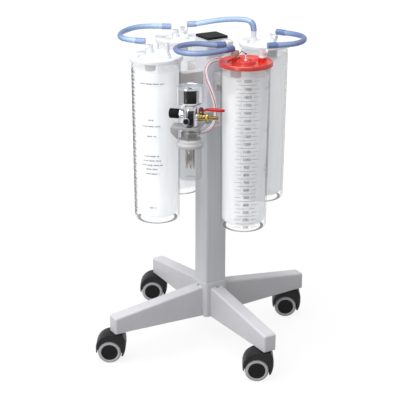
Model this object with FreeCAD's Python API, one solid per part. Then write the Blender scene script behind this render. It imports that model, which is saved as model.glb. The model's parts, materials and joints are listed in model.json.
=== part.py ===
import FreeCAD, Part
import math
import os

# Suction canister trolley, in millimetres, +Z up, floor at Z = 0.
# Four clear canisters with liners hang on the faces of one square post and are plumbed in series.
# The post stands in a cast cross base on four twin wheel castors and carries a vacuum regulator.
# Everything is drawn round the post's axis, and the finished shapes are centred on their footprint.
# Each post side is drawn as the front one, facing -Y, and turned about the post.

V = FreeCAD.Vector
UP = V(0, 0, 1)
SIDES = {"front": 0, "left": -90, "back": 180, "right": 90}

# Clearances
FIT = 0.1
RUN = 0.3

# Post, cap and carrier sleeve
POST = 50.0
POST_WALL = 2.5
POST_CORNER = 4.0
POST_TOP = 678.5
CAP_THICK = 4.5
CAP_PLUG = 14.0
SLEEVE_WALL = 1.5
SLEEVE_BOTTOM = 494.0
SLEEVE_TOP = 675.0
SLEEVE_SCREW_UP = 8.0
SCREW_HEAD = 3.6
SCREW_HEAD_HIGH = 2.0
SCREW_SHANK = 2.0
SCREW_LONG = 8.0

# Cross base
HUB = 57.0
HUB_CORNER = 8.0
HUB_TOP = 141.0
HUB_FLOOR = 90.0
HUB_BOTTOM = 62.0
LEG_REACH = 241.0
LEG_WIDE = 30.0
LEG_ROOT_TOP = 130.0
LEG_TIP_TOP = 104.0
LEG_TIP_BOTTOM = 68.0
LEG_LEVEL = 36.0
LEG_WALL = 4.0
LEG_EDGE = 5.0
BASE_SCREW_OUT = 32.5

# Castors
CASTOR_INSET = 14.5
TRAIL = 19.3
TRAIL_TURN = 149.0
WHEEL_RADIUS = 25.0
WHEEL_WIDE = 15.0
WHEEL_SHOULDER = 3.5
HUB_DISC = 17.0
HUB_DISH = 1.2
AXLE_RADIUS = 3.0
WEB = 7.0
WEB_GAP = 0.8
HOOD_WIDE = 41.0
HOOD_GAP = 2.3
HOOD_REAR = 29.5
HOOD_NOSE = 15.5
HOOD_NOSE_TOP = 9.0
HOOD_NOSE_UP = 38.0
HOOD_FOOT = 17.0
HOOD_CORNER = 8.0
WEB_FOOT = 13.0
WEB_FOOT_LONG = 16.0
ARCH_GAP = 1.5
STEM_RADIUS = 5.5
STEM_COLLAR = 8.0
STEM_FOOT = 47.0
STEM_HEAD = 92.0
BOSS_RADIUS = 11.0

# Canisters, liners and lids
CANISTER_OUT = 130.0
CANISTER_RADIUS = 50.0
CANISTER_FOOT_RADIUS = 46.8
CANISTER_BOTTOM = 309.0
CANISTER_TOP = 645.5
CANISTER_WALL = 2.5
CANISTER_CORNER = 9.0
RIM_OUT = 1.4
RIM_HIGH = 4.0
LINER_GAP = 0.9
LINER_WALL = 0.8
LINER_LIFT = 12.0
LID_RADIUS = 54.5
LID_WALL = 2.5
LID_SKIRT = 5.0
LID_RISE = 9.5
LID_CHANNEL_OUT = 43.5
LID_CHANNEL_IN = 25.0
LID_CHANNEL_FLOOR = 5.0
LID_CROWN = 10.5
LID_RIBS = 8
RIB_WIDE = 1.4
RIB_HIGH = 1.0
PEG_RADIUS = 3.0
PEG_HIGH = 6.0
PORT_RISE = 13.5
PORT_BOSS = 8.5
FILTER_RADIUS = 10.0
FILTER_DROP = 14.5
FILTER_SLOTS = 6

# Hooks that hold the canisters on the sleeve
LUG_BOTTOM = 582.0
LUG_HIGH = 28.0
LUG_NECK = 8.0
LUG_HEAD = 15.0
LUG_HEAD_DEEP = 4.0
LUG_NECK_DEEP = 4.0
HANGER_WIDE = 22.0
HANGER_TOP = 612.0
HANGER_FLOOR = 8.0
HANGER_PLATE_WIDE = 34.0
HANGER_PLATE = 3.0
HANGER_TO_WALL = 1.2

# Ports, each (x, y) from its canister's axis, and the elbows on them
VACUUM_PORT = {"front": (-6.2, 25.9), "left": (2.9, 29.7), "back": (15.6, 16.3), "right": (11.6, -11.6)}
PATIENT_PORT = {"front": (35.5, -5.0), "left": (12.9, -24.1), "back": (-10.8, -0.5), "right": (-17.1, 16.1)}
PORT_BORE = 4.0
ELBOW_RADIUS = 6.0
ELBOW_AXIS = 677.0
ELBOW_ARM = 10.0
ELBOW_BORE = 2.8
SPIGOT_LONG = 8.0
STRAIGHT_TOP = 672.0
NIPPLE_RADIUS = 4.4
NIPPLE_HIGH = 24.0

# Hoses. The points between the two ends are chosen by hand, each end is worked out from its port.
HOSE_RADIUS = 5.5
TUBE_RADIUS = 4.5
FRONT_TO_POST = [(-30, -112, 677), (-58, -117, 677), (-88, -119, 677.5), (-109, -111.5, 678),
                 (-121.5, -96, 678), (-125, -76.5, 678), (-118, -57, 678), (-101.5, -42, 678),
                 (-79, -33, 677.5), (-54, -31, 676.5), (-31, -36.5, 673), (-11, -43, 670)]
LEFT_TO_BACK = [(-145, 45, 677), (-160, 61, 678), (-165, 84, 678), (-156, 109, 678),
                (-137, 133, 678), (-111, 153, 678), (-83, 164, 678), (-58, 160, 677.5), (-37, 147, 677)]
BACK_TO_RIGHT = [(33, 131, 677), (52, 112, 683), (71, 89, 690), (88, 62, 695), (99.5, 41, 697),
                 (108.4, 24.8, 695.6), (112.9, 16.1, 685.8)]
FRONT_TO_RIGHT = [(57, -142.5, 677), (81, -149, 678.5), (107, -148, 680), (131, -137, 680.5),
                  (149.5, -118, 680.5), (159.5, -94, 680), (163, -67, 678.5), (157.5, -41, 677)]
JAR_TO_POST = [(-66, -90.7, 511), (-52, -91.5, 519.5), (-44, -90, 534), (-40.5, -84, 551),
               (-39, -75, 567.5), (-39.5, -66, 583), (-41.5, -57.5, 597.5), (-43, -50.5, 611.5),
               (-41.5, -45, 625.5), (-32, -41, 636.5), (-17.5, -38.5, 641)]

# Manifold on the sleeve's front face
MANIFOLD_LEFT = 9.0
MANIFOLD_WIDE = 14.0
MANIFOLD_DEEP = 22.0
MANIFOLD_BOTTOM = 632.0
MANIFOLD_TOP = 677.0
MANIFOLD_HOSE = (-43.0, 670.0)
MANIFOLD_TUBE = (-38.5, 641.0)

# Vacuum regulator, drawn upright on its own axis with its valve along +X
REGULATOR_AT = (-103.5, -90.7)
REGULATOR_TURN = -45.0
PLATE_BOTTOM = 522.0
PLATE_THICK = 5.0
PLATE_LEFT = 36.0
PLATE_RIGHT = 20.0
PLATE_FRONT = 17.0
GUSSET_DROP = 19.0
GUSSET_THICK = 3.0
CLAMP_LONG = 20.0
CLAMP_HIGH = 22.0
CLAMP_THICK = 3.0
BODY_RADIUS = 15.0
BODY_SHOULDER = 562.0
BODY_TOP = 570.0
BODY_NECK = 6.0
SPIGOT_RADIUS = 7.8
GAUGE_RADIUS = 26.5
GAUGE_BOTTOM = 574.0
GAUGE_TOP = 609.0
GAUGE_WALL = 2.0
GAUGE_CHAMFER = 4.0
DIAL_TOP = 602.5
DIAL_THICK = 1.5
LENS_THICK = 2.0
NEEDLE_LONG = 19.0
NEEDLE_PIN = 1.0
NEEDLE_HUB = 3.0
NEEDLE_REST = -135.0
KNOB_AXIS = 551.0
KNOB_RADIUS = 10.0
KNOB_NEAR = 21.0
KNOB_LONG = 22.0
KNOB_GROOVES = 20
KNOB_SHAFT = 3.0
VALVE_AXIS = 547.0
VALVE_RADIUS = 6.5
VALVE_END = 33.0
VALVE_NUT = 38.0
BARB_END = 57.0
BARB_RADIUS = 4.0
BARB_BORE = 2.0
LEVER_AT = 22.7
LEVER_UNDER = 559.5
LEVER_THICK = 2.0
LEVER_WIDE = 8.0
LEVER_TIP = 70.0
LEVER_LIFT = 3.0
VALVE_STEM = 2.8
PLUG_RADIUS = 4.5
PLUG_PLACE = (-4.0, 540.0)
NUT_ACROSS = 34.0
NUT_RING = 4.0
NUT_HIGH = 17.0
NUT_NIPPLE = 3.5
NUT_NIPPLE_END = 22.0
NUT_NIPPLE_RISE = 10.0
COLLAR_RADIUS = 28.0
COLLAR_HIGH = 20.0
COLLAR_ROOF = 4.0
JAR_RADIUS = 23.3
JAR_HIGH = 80.0
JAR_WALL = 2.0
CAGE_NECK = 4.5
CAGE_RADIUS = 9.3
CAGE_HIGH = 53.0
CAGE_DROP = 9.0
CAGE_ROOF = 3.0
CAGE_WALL = 2.0
CAGE_FLUTES = 8


# Worked out from the sizes above
SLEEVE = POST + 2 * (FIT + SLEEVE_WALL)
FACE = SLEEVE / 2
CASTOR_OUT = LEG_REACH - CASTOR_INSET
HOOD_TOP = LEG_TIP_BOTTOM - HOOD_GAP
PORT_TOP = CANISTER_TOP + PORT_RISE
NUT_TOP = PLATE_BOTTOM - NUT_RING
NUT_BOTTOM = NUT_TOP - NUT_HIGH
COLLAR_BOTTOM = NUT_BOTTOM - COLLAR_HIGH
JAR_TOP = NUT_BOTTOM - COLLAR_ROOF
JAR_BOTTOM = JAR_TOP - JAR_HIGH
CAGE_TOP = NUT_BOTTOM - CAGE_DROP
CAGE_BOTTOM = CAGE_TOP - CAGE_HIGH


def cylinder(radius, bottom, top, x=0.0, y=0.0):
    """Upright cylinder between two heights."""
    return Part.makeCylinder(radius, top - bottom, V(x, y, bottom))


def rod(radius, start, end):
    """Cylinder between two points."""
    way = V(*end) - V(*start)
    return Part.makeCylinder(radius, way.Length, V(*start), way)


def block(x0, x1, y0, y1, z0, z1):
    """Box between two corners."""
    return Part.makeBox(x1 - x0, y1 - y0, z1 - z0, V(x0, y0, z0))


def face_of(points):
    """Flat face through a closed outline of 3-D points."""
    corners = [V(*p) for p in points]
    return Part.Face(Part.makePolygon(corners + corners[:1]))


def turned(outline):
    """Solid of revolution about Z from an outline of (radius, height) points."""
    return face_of([(r, 0, z) for r, z in outline]).revolve(V(0, 0, 0), UP, 360)


def extruded(outline, y0, y1):
    """Prism of an outline of (x, z) points between two Y planes."""
    return face_of([(x, y0, z) for x, z in outline]).extrude(V(0, y1 - y0, 0))


def spun(shape, angle):
    """Copy turned about the Z axis."""
    copy = shape.copy()
    copy.rotate(V(0, 0, 0), UP, angle)
    return copy


def placed(shape, x, y, angle=0.0):
    """Copy turned about Z, then moved sideways."""
    copy = spun(shape, angle)
    copy.translate(V(x, y, 0))
    return copy


def fused(shapes):
    """Union of touching or overlapping shapes as one clean solid."""
    return shapes[0].multiFuse(shapes[1:]).removeSplitter()


def upright_edges(shape):
    """The shape's straight vertical edges."""
    found = []
    for edge in shape.Edges:
        if edge.Curve.TypeId != "Part::GeomLine":
            continue
        way = edge.Vertexes[-1].Point - edge.Vertexes[0].Point
        if abs(abs(way.z) - way.Length) < 1e-6:
            found.append(edge)
    return found


def square_bar(side, bottom, top, corner):
    """Upright square bar with rounded corners."""
    bar = block(-side / 2, side / 2, -side / 2, side / 2, bottom, top)
    return bar.makeFillet(corner, upright_edges(bar))


def hexagon(across, bottom, top):
    """Upright hexagonal prism, measured across its flats."""
    corner = across / math.sqrt(3)
    ring = [(corner * math.cos(math.pi * k / 3), corner * math.sin(math.pi * k / 3), bottom) for k in range(6)]
    return face_of(ring).extrude(V(0, 0, top - bottom))


def canister_axis(side):
    """Place of a canister's axis on its side of the post."""
    turn = math.radians(SIDES[side])
    return V(CANISTER_OUT * math.sin(turn), -CANISTER_OUT * math.cos(turn), 0)


def port_at(side, ports):
    """Place of a lid port, from the post's axis."""
    return canister_axis(side) + V(*ports[side], 0)


def regulator_point(x, y, z):
    """A point given in the regulator's own frame."""
    turn = math.radians(REGULATOR_TURN)
    far = REGULATOR_AT[0] + x * math.cos(turn) - y * math.sin(turn)
    return V(far, REGULATOR_AT[1] + x * math.sin(turn) + y * math.cos(turn), z)


def on_regulator(shape):
    """A shape drawn in the regulator's frame, moved to its place."""
    return placed(shape, REGULATOR_AT[0], REGULATOR_AT[1], REGULATOR_TURN)


def base_cross():
    """Cast hub and four tapering legs in one, hollow from beneath, with a boss over each castor."""
    hub = square_bar(HUB, HUB_BOTTOM, HUB_TOP, HUB_CORNER)
    side_view = [(0, HUB_BOTTOM), (HUB / 2, HUB_BOTTOM), (CASTOR_OUT - 2 * BOSS_RADIUS, LEG_TIP_BOTTOM),
                 (LEG_REACH, LEG_TIP_BOTTOM), (LEG_REACH, LEG_TIP_TOP), (LEG_LEVEL, LEG_ROOT_TOP),
                 (0, LEG_ROOT_TOP)]
    leg = extruded(side_view, -LEG_WIDE / 2, LEG_WIDE / 2)
    leg = leg.makeFillet(LEG_EDGE, [e for e in leg.Edges if is_leg_edge(e)])
    hollow_wide = LEG_WIDE / 2 - LEG_WALL
    hollow_top = LEG_ROOT_TOP - LEG_WALL
    slope = (LEG_ROOT_TOP - LEG_TIP_TOP) / (LEG_REACH - LEG_LEVEL)
    hollow_end = LEG_REACH - LEG_WALL
    end_top = hollow_top - slope * (hollow_end - LEG_LEVEL)
    root = HUB / 2 + LEG_WALL / 2
    hollow = extruded([(root, 0), (hollow_end, 0), (hollow_end, end_top), (LEG_LEVEL, hollow_top),
                       (root, hollow_top)], -hollow_wide, hollow_wide)
    boss = cylinder(BOSS_RADIUS, LEG_TIP_BOTTOM, STEM_HEAD + LEG_WALL, CASTOR_OUT)
    bore = cylinder(STEM_RADIUS + FIT, 0, STEM_HEAD, CASTOR_OUT)
    screw_hole = cylinder(SCREW_SHANK + FIT, LEG_ROOT_TOP - SCREW_LONG, HUB_TOP, BASE_SCREW_OUT)
    legs = []
    cuts = []
    for turn in SIDES.values():
        legs.append(spun(leg.cut(hollow).fuse(boss), turn - 90))
        cuts.append(spun(bore, turn - 90))
        cuts.append(spun(screw_hole, turn - 90))
    socket = square_bar(POST + 2 * FIT, HUB_FLOOR, HUB_TOP + 1, POST_CORNER)
    under = HUB / 2 - 2 * LEG_WALL
    cuts.append(block(-under, under, -under, under, 0, HUB_FLOOR - 2 * LEG_WALL))
    return fused([hub] + legs).cut(Part.makeCompound([socket] + cuts))


def is_leg_edge(edge):
    """True for the leg's two long top edges and its four edges at the blunt tip."""
    ends = [v.Point for v in edge.Vertexes]
    at_tip = all(abs(p.x - LEG_REACH) < 1e-6 for p in ends)
    along_top = all(p.z > LEG_TIP_TOP - 1e-6 for p in ends) and abs(ends[0].y - ends[1].y) < 1e-6
    across = abs(ends[0].y - ends[1].y) > 1e-6
    low = all(p.z < LEG_TIP_BOTTOM + 1e-6 for p in ends)
    return (at_tip and not low) or (along_top and not across and max(p.x for p in ends) > LEG_LEVEL)


def post():
    """Square steel tube that stands on the hub's floor."""
    tube = square_bar(POST, HUB_FLOOR, POST_TOP, POST_CORNER)
    bore = square_bar(POST - 2 * POST_WALL, HUB_FLOOR - 1, POST_TOP + 1, POST_CORNER - POST_WALL)
    return tube.cut(bore).cut(Part.makeCompound(side_screw_holes()))


def post_cap():
    """Plastic cap with a plug inside the tube."""
    plate = square_bar(POST, POST_TOP, POST_TOP + CAP_THICK, POST_CORNER)
    plate = plate.makeFillet(1.2, [e for e in plate.Edges if e.BoundBox.ZMin > POST_TOP + CAP_THICK - 0.01])
    plug_side = POST - 2 * (POST_WALL + FIT)
    plug = square_bar(plug_side, POST_TOP - CAP_PLUG, POST_TOP, 2 * FIT + POST_CORNER - POST_WALL)
    hollow = block(-18, 18, -18, 18, POST_TOP - CAP_PLUG - 1, POST_TOP - 1)
    return fused([plate, plug]).cut(hollow)


def carrier_sleeve():
    """White sheet sleeve round the head of the post."""
    outer = square_bar(SLEEVE, SLEEVE_BOTTOM, SLEEVE_TOP, POST_CORNER + FIT + SLEEVE_WALL)
    bore = square_bar(POST + 2 * FIT, SLEEVE_BOTTOM - 1, SLEEVE_TOP + 1, POST_CORNER + FIT)
    return outer.cut(bore).cut(Part.makeCompound(side_screw_holes()))


def side_screw_holes():
    """Clearance holes for the four sleeve screws."""
    height = SLEEVE_BOTTOM + SLEEVE_SCREW_UP
    hole = rod(SCREW_SHANK + FIT, (0, -FACE - 1, height), (0, 0, height))
    return [spun(hole, turn) for turn in SIDES.values()]


def round_head_screw():
    """Round head screw, head up, with its seat at the origin."""
    head = turned([(0, 0), (SCREW_HEAD, 0), (SCREW_HEAD, SCREW_HEAD_HIGH * 0.5), (SCREW_HEAD * 0.6,
                   SCREW_HEAD_HIGH), (0, SCREW_HEAD_HIGH)])
    shank = cylinder(SCREW_SHANK, -SCREW_LONG + 0.5, 0)
    socket = hexagon(SCREW_HEAD * 0.7, SCREW_HEAD_HIGH - 1.2, SCREW_HEAD_HIGH + 1)
    return fused([head, shank]).cut(socket)


def base_screws():
    """Four socket screws at the roots of the legs."""
    screw = round_head_screw()
    screw.translate(V(0, -BASE_SCREW_OUT, LEG_ROOT_TOP))
    return Part.makeCompound([spun(screw, turn) for turn in SIDES.values()])


def sleeve_screws():
    """One screw in the middle of each face of the sleeve, near its lower edge."""
    screw = round_head_screw()
    screw.rotate(V(0, 0, 0), V(1, 0, 0), 90)
    screw.translate(V(0, -FACE, SLEEVE_BOTTOM + SLEEVE_SCREW_UP))
    return Part.makeCompound([spun(screw, turn) for turn in SIDES.values()])


def castor_stem():
    """Castor pin with its collar, pressed up into the leg."""
    pin = cylinder(STEM_RADIUS, STEM_FOOT, STEM_HEAD)
    collar = cylinder(STEM_COLLAR, HOOD_TOP + RUN, LEG_TIP_BOTTOM)
    return fused([pin, collar])


def castor_hood():
    """Hood of a twin wheel castor: stem socket, fenders and the web that carries the axle."""
    top = HOOD_TOP
    rear = V(TRAIL + HOOD_REAR, 0, WHEEL_RADIUS)
    bend = math.radians(52)
    crown = V(TRAIL + HOOD_REAR * math.cos(bend), 0, WHEEL_RADIUS + (top - WHEEL_RADIUS) * math.sin(bend))
    brow = V(-HOOD_NOSE_TOP, 0, top)
    chin = V(-HOOD_NOSE_TOP, 0, HOOD_FOOT)
    web_front = V(TRAIL - WEB_FOOT_LONG / 2, 0, WEB_FOOT)
    web_back = V(TRAIL + WEB_FOOT_LONG / 2, 0, WEB_FOOT)
    outline = [
        Part.Arc(rear, crown, V(TRAIL, 0, top)).toShape(),
        Part.LineSegment(V(TRAIL, 0, top), brow).toShape(),
        Part.Arc(brow, V(-HOOD_NOSE, 0, HOOD_NOSE_UP), chin).toShape(),
        Part.LineSegment(chin, web_front).toShape(),
        Part.LineSegment(web_front, web_back).toShape(),
        Part.LineSegment(web_back, rear).toShape(),
    ]
    side = Part.Face(Part.Wire(outline))
    side.translate(V(0, -HOOD_WIDE / 2, 0))
    plan = block(-HOOD_NOSE, TRAIL + HOOD_REAR, -HOOD_WIDE / 2, HOOD_WIDE / 2, 0, top)
    plan = plan.makeFillet(HOOD_CORNER, upright_edges(plan))
    hood = side.extrude(V(0, HOOD_WIDE, 0)).common(plan)
    arch = WHEEL_RADIUS + ARCH_GAP
    cuts = [cylinder(STEM_RADIUS + RUN, STEM_FOOT - RUN, top + 1),
            rod(AXLE_RADIUS + RUN / 2, (TRAIL, -WEB, WHEEL_RADIUS), (TRAIL, WEB, WHEEL_RADIUS))]
    for way in (-1, 1):
        near = way * WEB / 2
        far = way * (HOOD_WIDE / 2 + 1)
        cuts.append(rod(arch, (TRAIL, near, WHEEL_RADIUS), (TRAIL, far, WHEEL_RADIUS)))
        cuts.append(block(-HOOD_NOSE, TRAIL + HOOD_REAR, min(near, far), max(near, far), 0, HOOD_FOOT))
    for cut in cuts:
        hood = hood.cut(cut)
    return hood


def castor_wheels():
    """Both wheels of a castor on their axle, with rounded treads and dished hub discs."""
    half = WEB / 2 + WEB_GAP
    outer = half + WHEEL_WIDE
    side = WHEEL_RADIUS - WHEEL_SHOULDER
    profile = [Part.LineSegment(V(AXLE_RADIUS, 0, -half), V(AXLE_RADIUS, 0, half)).toShape()]
    for way in (1, -1):
        points = [(AXLE_RADIUS, half), (side, half), (WHEEL_RADIUS, half + WHEEL_WIDE / 2), (side, outer),
                  (HUB_DISC, outer), (HUB_DISC - 1, outer - HUB_DISH), (0, outer - HUB_DISH / 2)]
        inner, heel, tread, toe, rim, dish, middle = [V(r, 0, way * z) for r, z in points]
        profile += [
            Part.LineSegment(inner, heel).toShape(),
            Part.Arc(heel, tread, toe).toShape(),
            Part.LineSegment(toe, rim).toShape(),
            Part.LineSegment(rim, dish).toShape(),
            Part.LineSegment(dish, middle).toShape(),
            Part.LineSegment(middle, V(0, 0, 0)).toShape(),
        ]
    pair = Part.Face(Part.Wire(Part.__sortEdges__(profile))).revolve(V(0, 0, 0), UP, 360)
    pair.rotate(V(0, 0, 0), V(1, 0, 0), 90)
    pair.translate(V(TRAIL, 0, WHEEL_RADIUS))
    return pair


def on_castor(shape, side):
    """A shape drawn round a castor's pin with its trail along +X, moved to a leg."""
    turn = math.radians(SIDES[side])
    return placed(shape, CASTOR_OUT * math.sin(turn), -CASTOR_OUT * math.cos(turn), TRAIL_TURN)


def wall_radius(height):
    """Outer radius of the tapering canister wall at a height."""
    share = (height - CANISTER_BOTTOM) / (CANISTER_TOP - CANISTER_BOTTOM)
    return CANISTER_FOOT_RADIUS + share * (CANISTER_RADIUS - CANISTER_FOOT_RADIUS)


def cup(top, bottom, wall, gap, corner):
    """Tapering round cup that follows the canister wall at a gap inside it."""
    outer = wall_radius(top) - gap
    foot = wall_radius(bottom) - gap
    inner_corner = corner - wall
    bend = math.sqrt(0.5)
    profile = [
        Part.LineSegment(V(0, 0, bottom), V(foot - corner, 0, bottom)).toShape(),
        Part.Arc(V(foot - corner, 0, bottom),
                 V(foot - corner + corner * bend, 0, bottom + corner - corner * bend),
                 V(foot, 0, bottom + corner)).toShape(),
        Part.LineSegment(V(foot, 0, bottom + corner), V(outer, 0, top)).toShape(),
        Part.LineSegment(V(outer, 0, top), V(outer - wall, 0, top)).toShape(),
        Part.LineSegment(V(outer - wall, 0, top), V(foot - wall, 0, bottom + corner)).toShape(),
        Part.Arc(V(foot - wall, 0, bottom + corner),
                 V(foot - corner + inner_corner * bend, 0, bottom + corner - inner_corner * bend),
                 V(foot - corner, 0, bottom + wall)).toShape(),
        Part.LineSegment(V(foot - corner, 0, bottom + wall), V(0, 0, bottom + wall)).toShape(),
        Part.LineSegment(V(0, 0, bottom + wall), V(0, 0, bottom)).toShape(),
    ]
    return Part.Face(Part.Wire(profile)).revolve(V(0, 0, 0), UP, 360)


def canister():
    """Clear canister with a rim bead and the T-shaped lug that hangs it, drawn on its own axis."""
    body = cup(CANISTER_TOP, CANISTER_BOTTOM, CANISTER_WALL, 0, CANISTER_CORNER)
    rim = turned([(CANISTER_RADIUS - 1, CANISTER_TOP - RIM_HIGH), (CANISTER_RADIUS + RIM_OUT,
                  CANISTER_TOP - RIM_HIGH), (CANISTER_RADIUS + RIM_OUT, CANISTER_TOP),
                  (CANISTER_RADIUS - 1, CANISTER_TOP)])
    wall = wall_radius(LUG_BOTTOM)
    neck_end = wall + LUG_NECK_DEEP
    lug_top = LUG_BOTTOM + LUG_HIGH
    neck = block(-LUG_NECK / 2, LUG_NECK / 2, wall - 1, neck_end + 1, LUG_BOTTOM, lug_top)
    head = block(-LUG_HEAD / 2, LUG_HEAD / 2, neck_end, neck_end + LUG_HEAD_DEEP, LUG_BOTTOM, lug_top)
    return fused([body, rim, neck, head])


def liner():
    """Frosted liner bag that hangs from the lid inside the canister."""
    gap = CANISTER_WALL + LINER_GAP
    return cup(CANISTER_TOP, CANISTER_BOTTOM + LINER_LIFT, LINER_WALL, gap, CANISTER_CORNER)


def hanger():
    """Moulded bracket on the sleeve, drawn on the front side, with the slot that takes the lug."""
    wall_at = -CANISTER_OUT + wall_radius(LUG_BOTTOM)
    front = wall_at + HANGER_TO_WALL
    floor = LUG_BOTTOM - HANGER_FLOOR
    plate = block(-HANGER_PLATE_WIDE / 2, HANGER_PLATE_WIDE / 2, -FACE - HANGER_PLATE, -FACE, floor, HANGER_TOP)
    plate = plate.makeFillet(2.0, plate.Edges[:4])
    arm = block(-HANGER_WIDE / 2, HANGER_WIDE / 2, front, -FACE, floor, HANGER_TOP)
    relief = block(-HANGER_WIDE, HANGER_WIDE, front + LUG_NECK_DEEP + LUG_HEAD_DEEP + 10, -FACE - 12,
                   0, floor + 14)
    neck = block(-LUG_NECK / 2 - RUN, LUG_NECK / 2 + RUN, front - 1, wall_at + LUG_NECK_DEEP + 1,
                 LUG_BOTTOM, HANGER_TOP + 1)
    head = block(-LUG_HEAD / 2 - RUN, LUG_HEAD / 2 + RUN, wall_at + LUG_NECK_DEEP - RUN,
                 wall_at + LUG_NECK_DEEP + LUG_HEAD_DEEP + RUN, LUG_BOTTOM, HANGER_TOP + 1)
    return fused([plate, arm]).cut(Part.makeCompound([relief, head])).cut(neck)


def lid(side):
    """Lid with its skirt, channel, ribbed crown, port bosses and the filter cage under the vacuum port."""
    seat = CANISTER_TOP
    inner = CANISTER_RADIUS + RIM_OUT + FIT
    under = seat + LID_CHANNEL_FLOOR - LID_WALL
    plate = turned([
        (0, seat + LID_CROWN - LID_WALL), (LID_CHANNEL_IN - 3, seat + LID_CROWN - LID_WALL - 0.5),
        (LID_CHANNEL_IN, under), (LID_CHANNEL_OUT - 1, under), (LID_CHANNEL_OUT + 1, seat),
        (inner, seat), (inner, seat - LID_SKIRT), (LID_RADIUS, seat - LID_SKIRT),
        (LID_RADIUS, seat + LID_RISE - 2), (LID_RADIUS - 0.6, seat + LID_RISE - 0.6),
        (LID_RADIUS - 2, seat + LID_RISE), (LID_RADIUS - 4.6, seat + LID_RISE),
        (LID_RADIUS - 5.6, seat + LID_RISE - 1.5), (LID_CHANNEL_OUT + 1.5, seat + LID_RISE - 1.5),
        (LID_CHANNEL_OUT, seat + LID_CHANNEL_FLOOR), (LID_CHANNEL_IN + 1.5, seat + LID_CHANNEL_FLOOR),
        (LID_CHANNEL_IN - 1, seat + LID_CROWN - 0.8), (LID_CHANNEL_IN - 3, seat + LID_CROWN),
        (0, seat + LID_CROWN + 0.5)])
    pieces = [plate]
    for k in range(LID_RIBS):
        rib = block(8, LID_CHANNEL_IN - 3, -RIB_WIDE / 2, RIB_WIDE / 2, seat + LID_CROWN - 1,
                    seat + LID_CROWN + RIB_HIGH)
        pieces.append(spun(rib, 360 * k / LID_RIBS + 22.5))
    pieces.append(cylinder(PEG_RADIUS, seat + LID_CROWN - 1, seat + LID_CROWN + PEG_HIGH, -4, -14))
    holes = []
    for ports in (VACUUM_PORT, PATIENT_PORT):
        x, y = ports[side]
        pieces.append(cylinder(PORT_BOSS, under, seat + PORT_RISE, x, y))
        holes.append(cylinder(PORT_BORE, seat - 1, seat + PORT_RISE + 1, x, y))
    x, y = VACUUM_PORT[side]
    bottom = seat - FILTER_DROP
    pieces.append(cylinder(FILTER_RADIUS, bottom, seat + LID_CHANNEL_FLOOR - 0.5, x, y))
    holes.append(cylinder(FILTER_RADIUS - 2, bottom - 1, seat - 1, x, y))
    for k in range(FILTER_SLOTS):
        slot = block(0, FILTER_RADIUS + 1, -2, 2, bottom + 3, seat - 3)
        holes.append(placed(slot, x, y, 360 * k / FILTER_SLOTS))
    return fused(pieces).cut(Part.makeCompound(holes))


def elbow(port, toward, axis, arm, seat):
    """Elbow that stands in a port and points level at the next point of its hose."""
    way = V(toward[0] - port[0], toward[1] - port[1], 0).normalize()
    corner = V(port[0], port[1], axis)
    end = corner + way * arm
    outer = fused([cylinder(ELBOW_RADIUS, seat, axis, port[0], port[1]), Part.makeSphere(ELBOW_RADIUS, corner),
                   rod(ELBOW_RADIUS, corner, end),
                   cylinder(PORT_BORE - FIT, seat - SPIGOT_LONG, seat + 1, port[0], port[1])])
    down = cylinder(ELBOW_BORE, seat - SPIGOT_LONG - 1, axis, port[0], port[1])
    return outer.cut(down).cut(rod(ELBOW_BORE, corner, end + way))


def straight_connector(port):
    """Straight hose connector standing in a port."""
    stem = cylinder(ELBOW_RADIUS, PORT_TOP, STRAIGHT_TOP, port.x, port.y)
    spigot = cylinder(PORT_BORE - FIT, PORT_TOP - SPIGOT_LONG, PORT_TOP + 1, port.x, port.y)
    return fused([stem, spigot]).cut(cylinder(ELBOW_BORE, 0, STRAIGHT_TOP + 1, port.x, port.y))


def patient_nipple(port):
    """Open nipple in the left canister's free port, where the patient's tube is pushed on."""
    stem = cylinder(NIPPLE_RADIUS, PORT_TOP + 4, PORT_TOP + NIPPLE_HIGH, port.x, port.y)
    flange = cylinder(ELBOW_RADIUS, PORT_TOP, PORT_TOP + 4, port.x, port.y)
    spigot = cylinder(PORT_BORE - FIT, PORT_TOP - SPIGOT_LONG, PORT_TOP + 1, port.x, port.y)
    return fused([stem, flange, spigot]).cut(cylinder(ELBOW_BORE, 0, PORT_TOP + NIPPLE_HIGH + 1, port.x, port.y))


def level_end(port, toward, arm):
    """Where a hose meets an elbow's face."""
    way = V(toward[0] - port.x, toward[1] - port.y, 0).normalize()
    return V(port.x, port.y, toward[2]) + way * arm


def hose(name, route, radius):
    """Round hose along straight runs joined by tangent arcs, and a printout of its radii."""
    points = [V(*p) for p in route]
    pieces = []
    radii = []
    last = points[0]
    for before, corner, after in zip(points, points[1:], points[2:]):
        into = corner - before
        out = after - corner
        cut = 0.45 * min(into.Length, out.Length)
        start = corner - into.normalize() * cut
        end = corner + out.normalize() * cut
        half_turn = into.getAngle(out) / 2
        bend = cut / math.tan(half_turn)
        radii.append(round(bend / (2 * radius), 1))
        middle = (end - corner).normalize() + (start - corner).normalize()
        lift = bend / math.cos(half_turn) - bend
        pieces.append(Part.LineSegment(last, start).toShape())
        pieces.append(Part.Arc(start, corner + middle.normalize() * lift, end).toShape())
        last = end
    pieces.append(Part.LineSegment(last, points[-1]).toShape())
    spine = Part.Wire(pieces)
    ring = Part.Wire(Part.Circle(points[0], points[1] - points[0], radius).toShape())
    solid = spine.makePipeShell([ring], True, True)
    share = solid.Volume / (math.pi * radius ** 2 * spine.Length)
    print(name, "length", round(spine.Length, 1), "volume share", round(share, 4), "radii in diameters", radii)
    return solid


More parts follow.
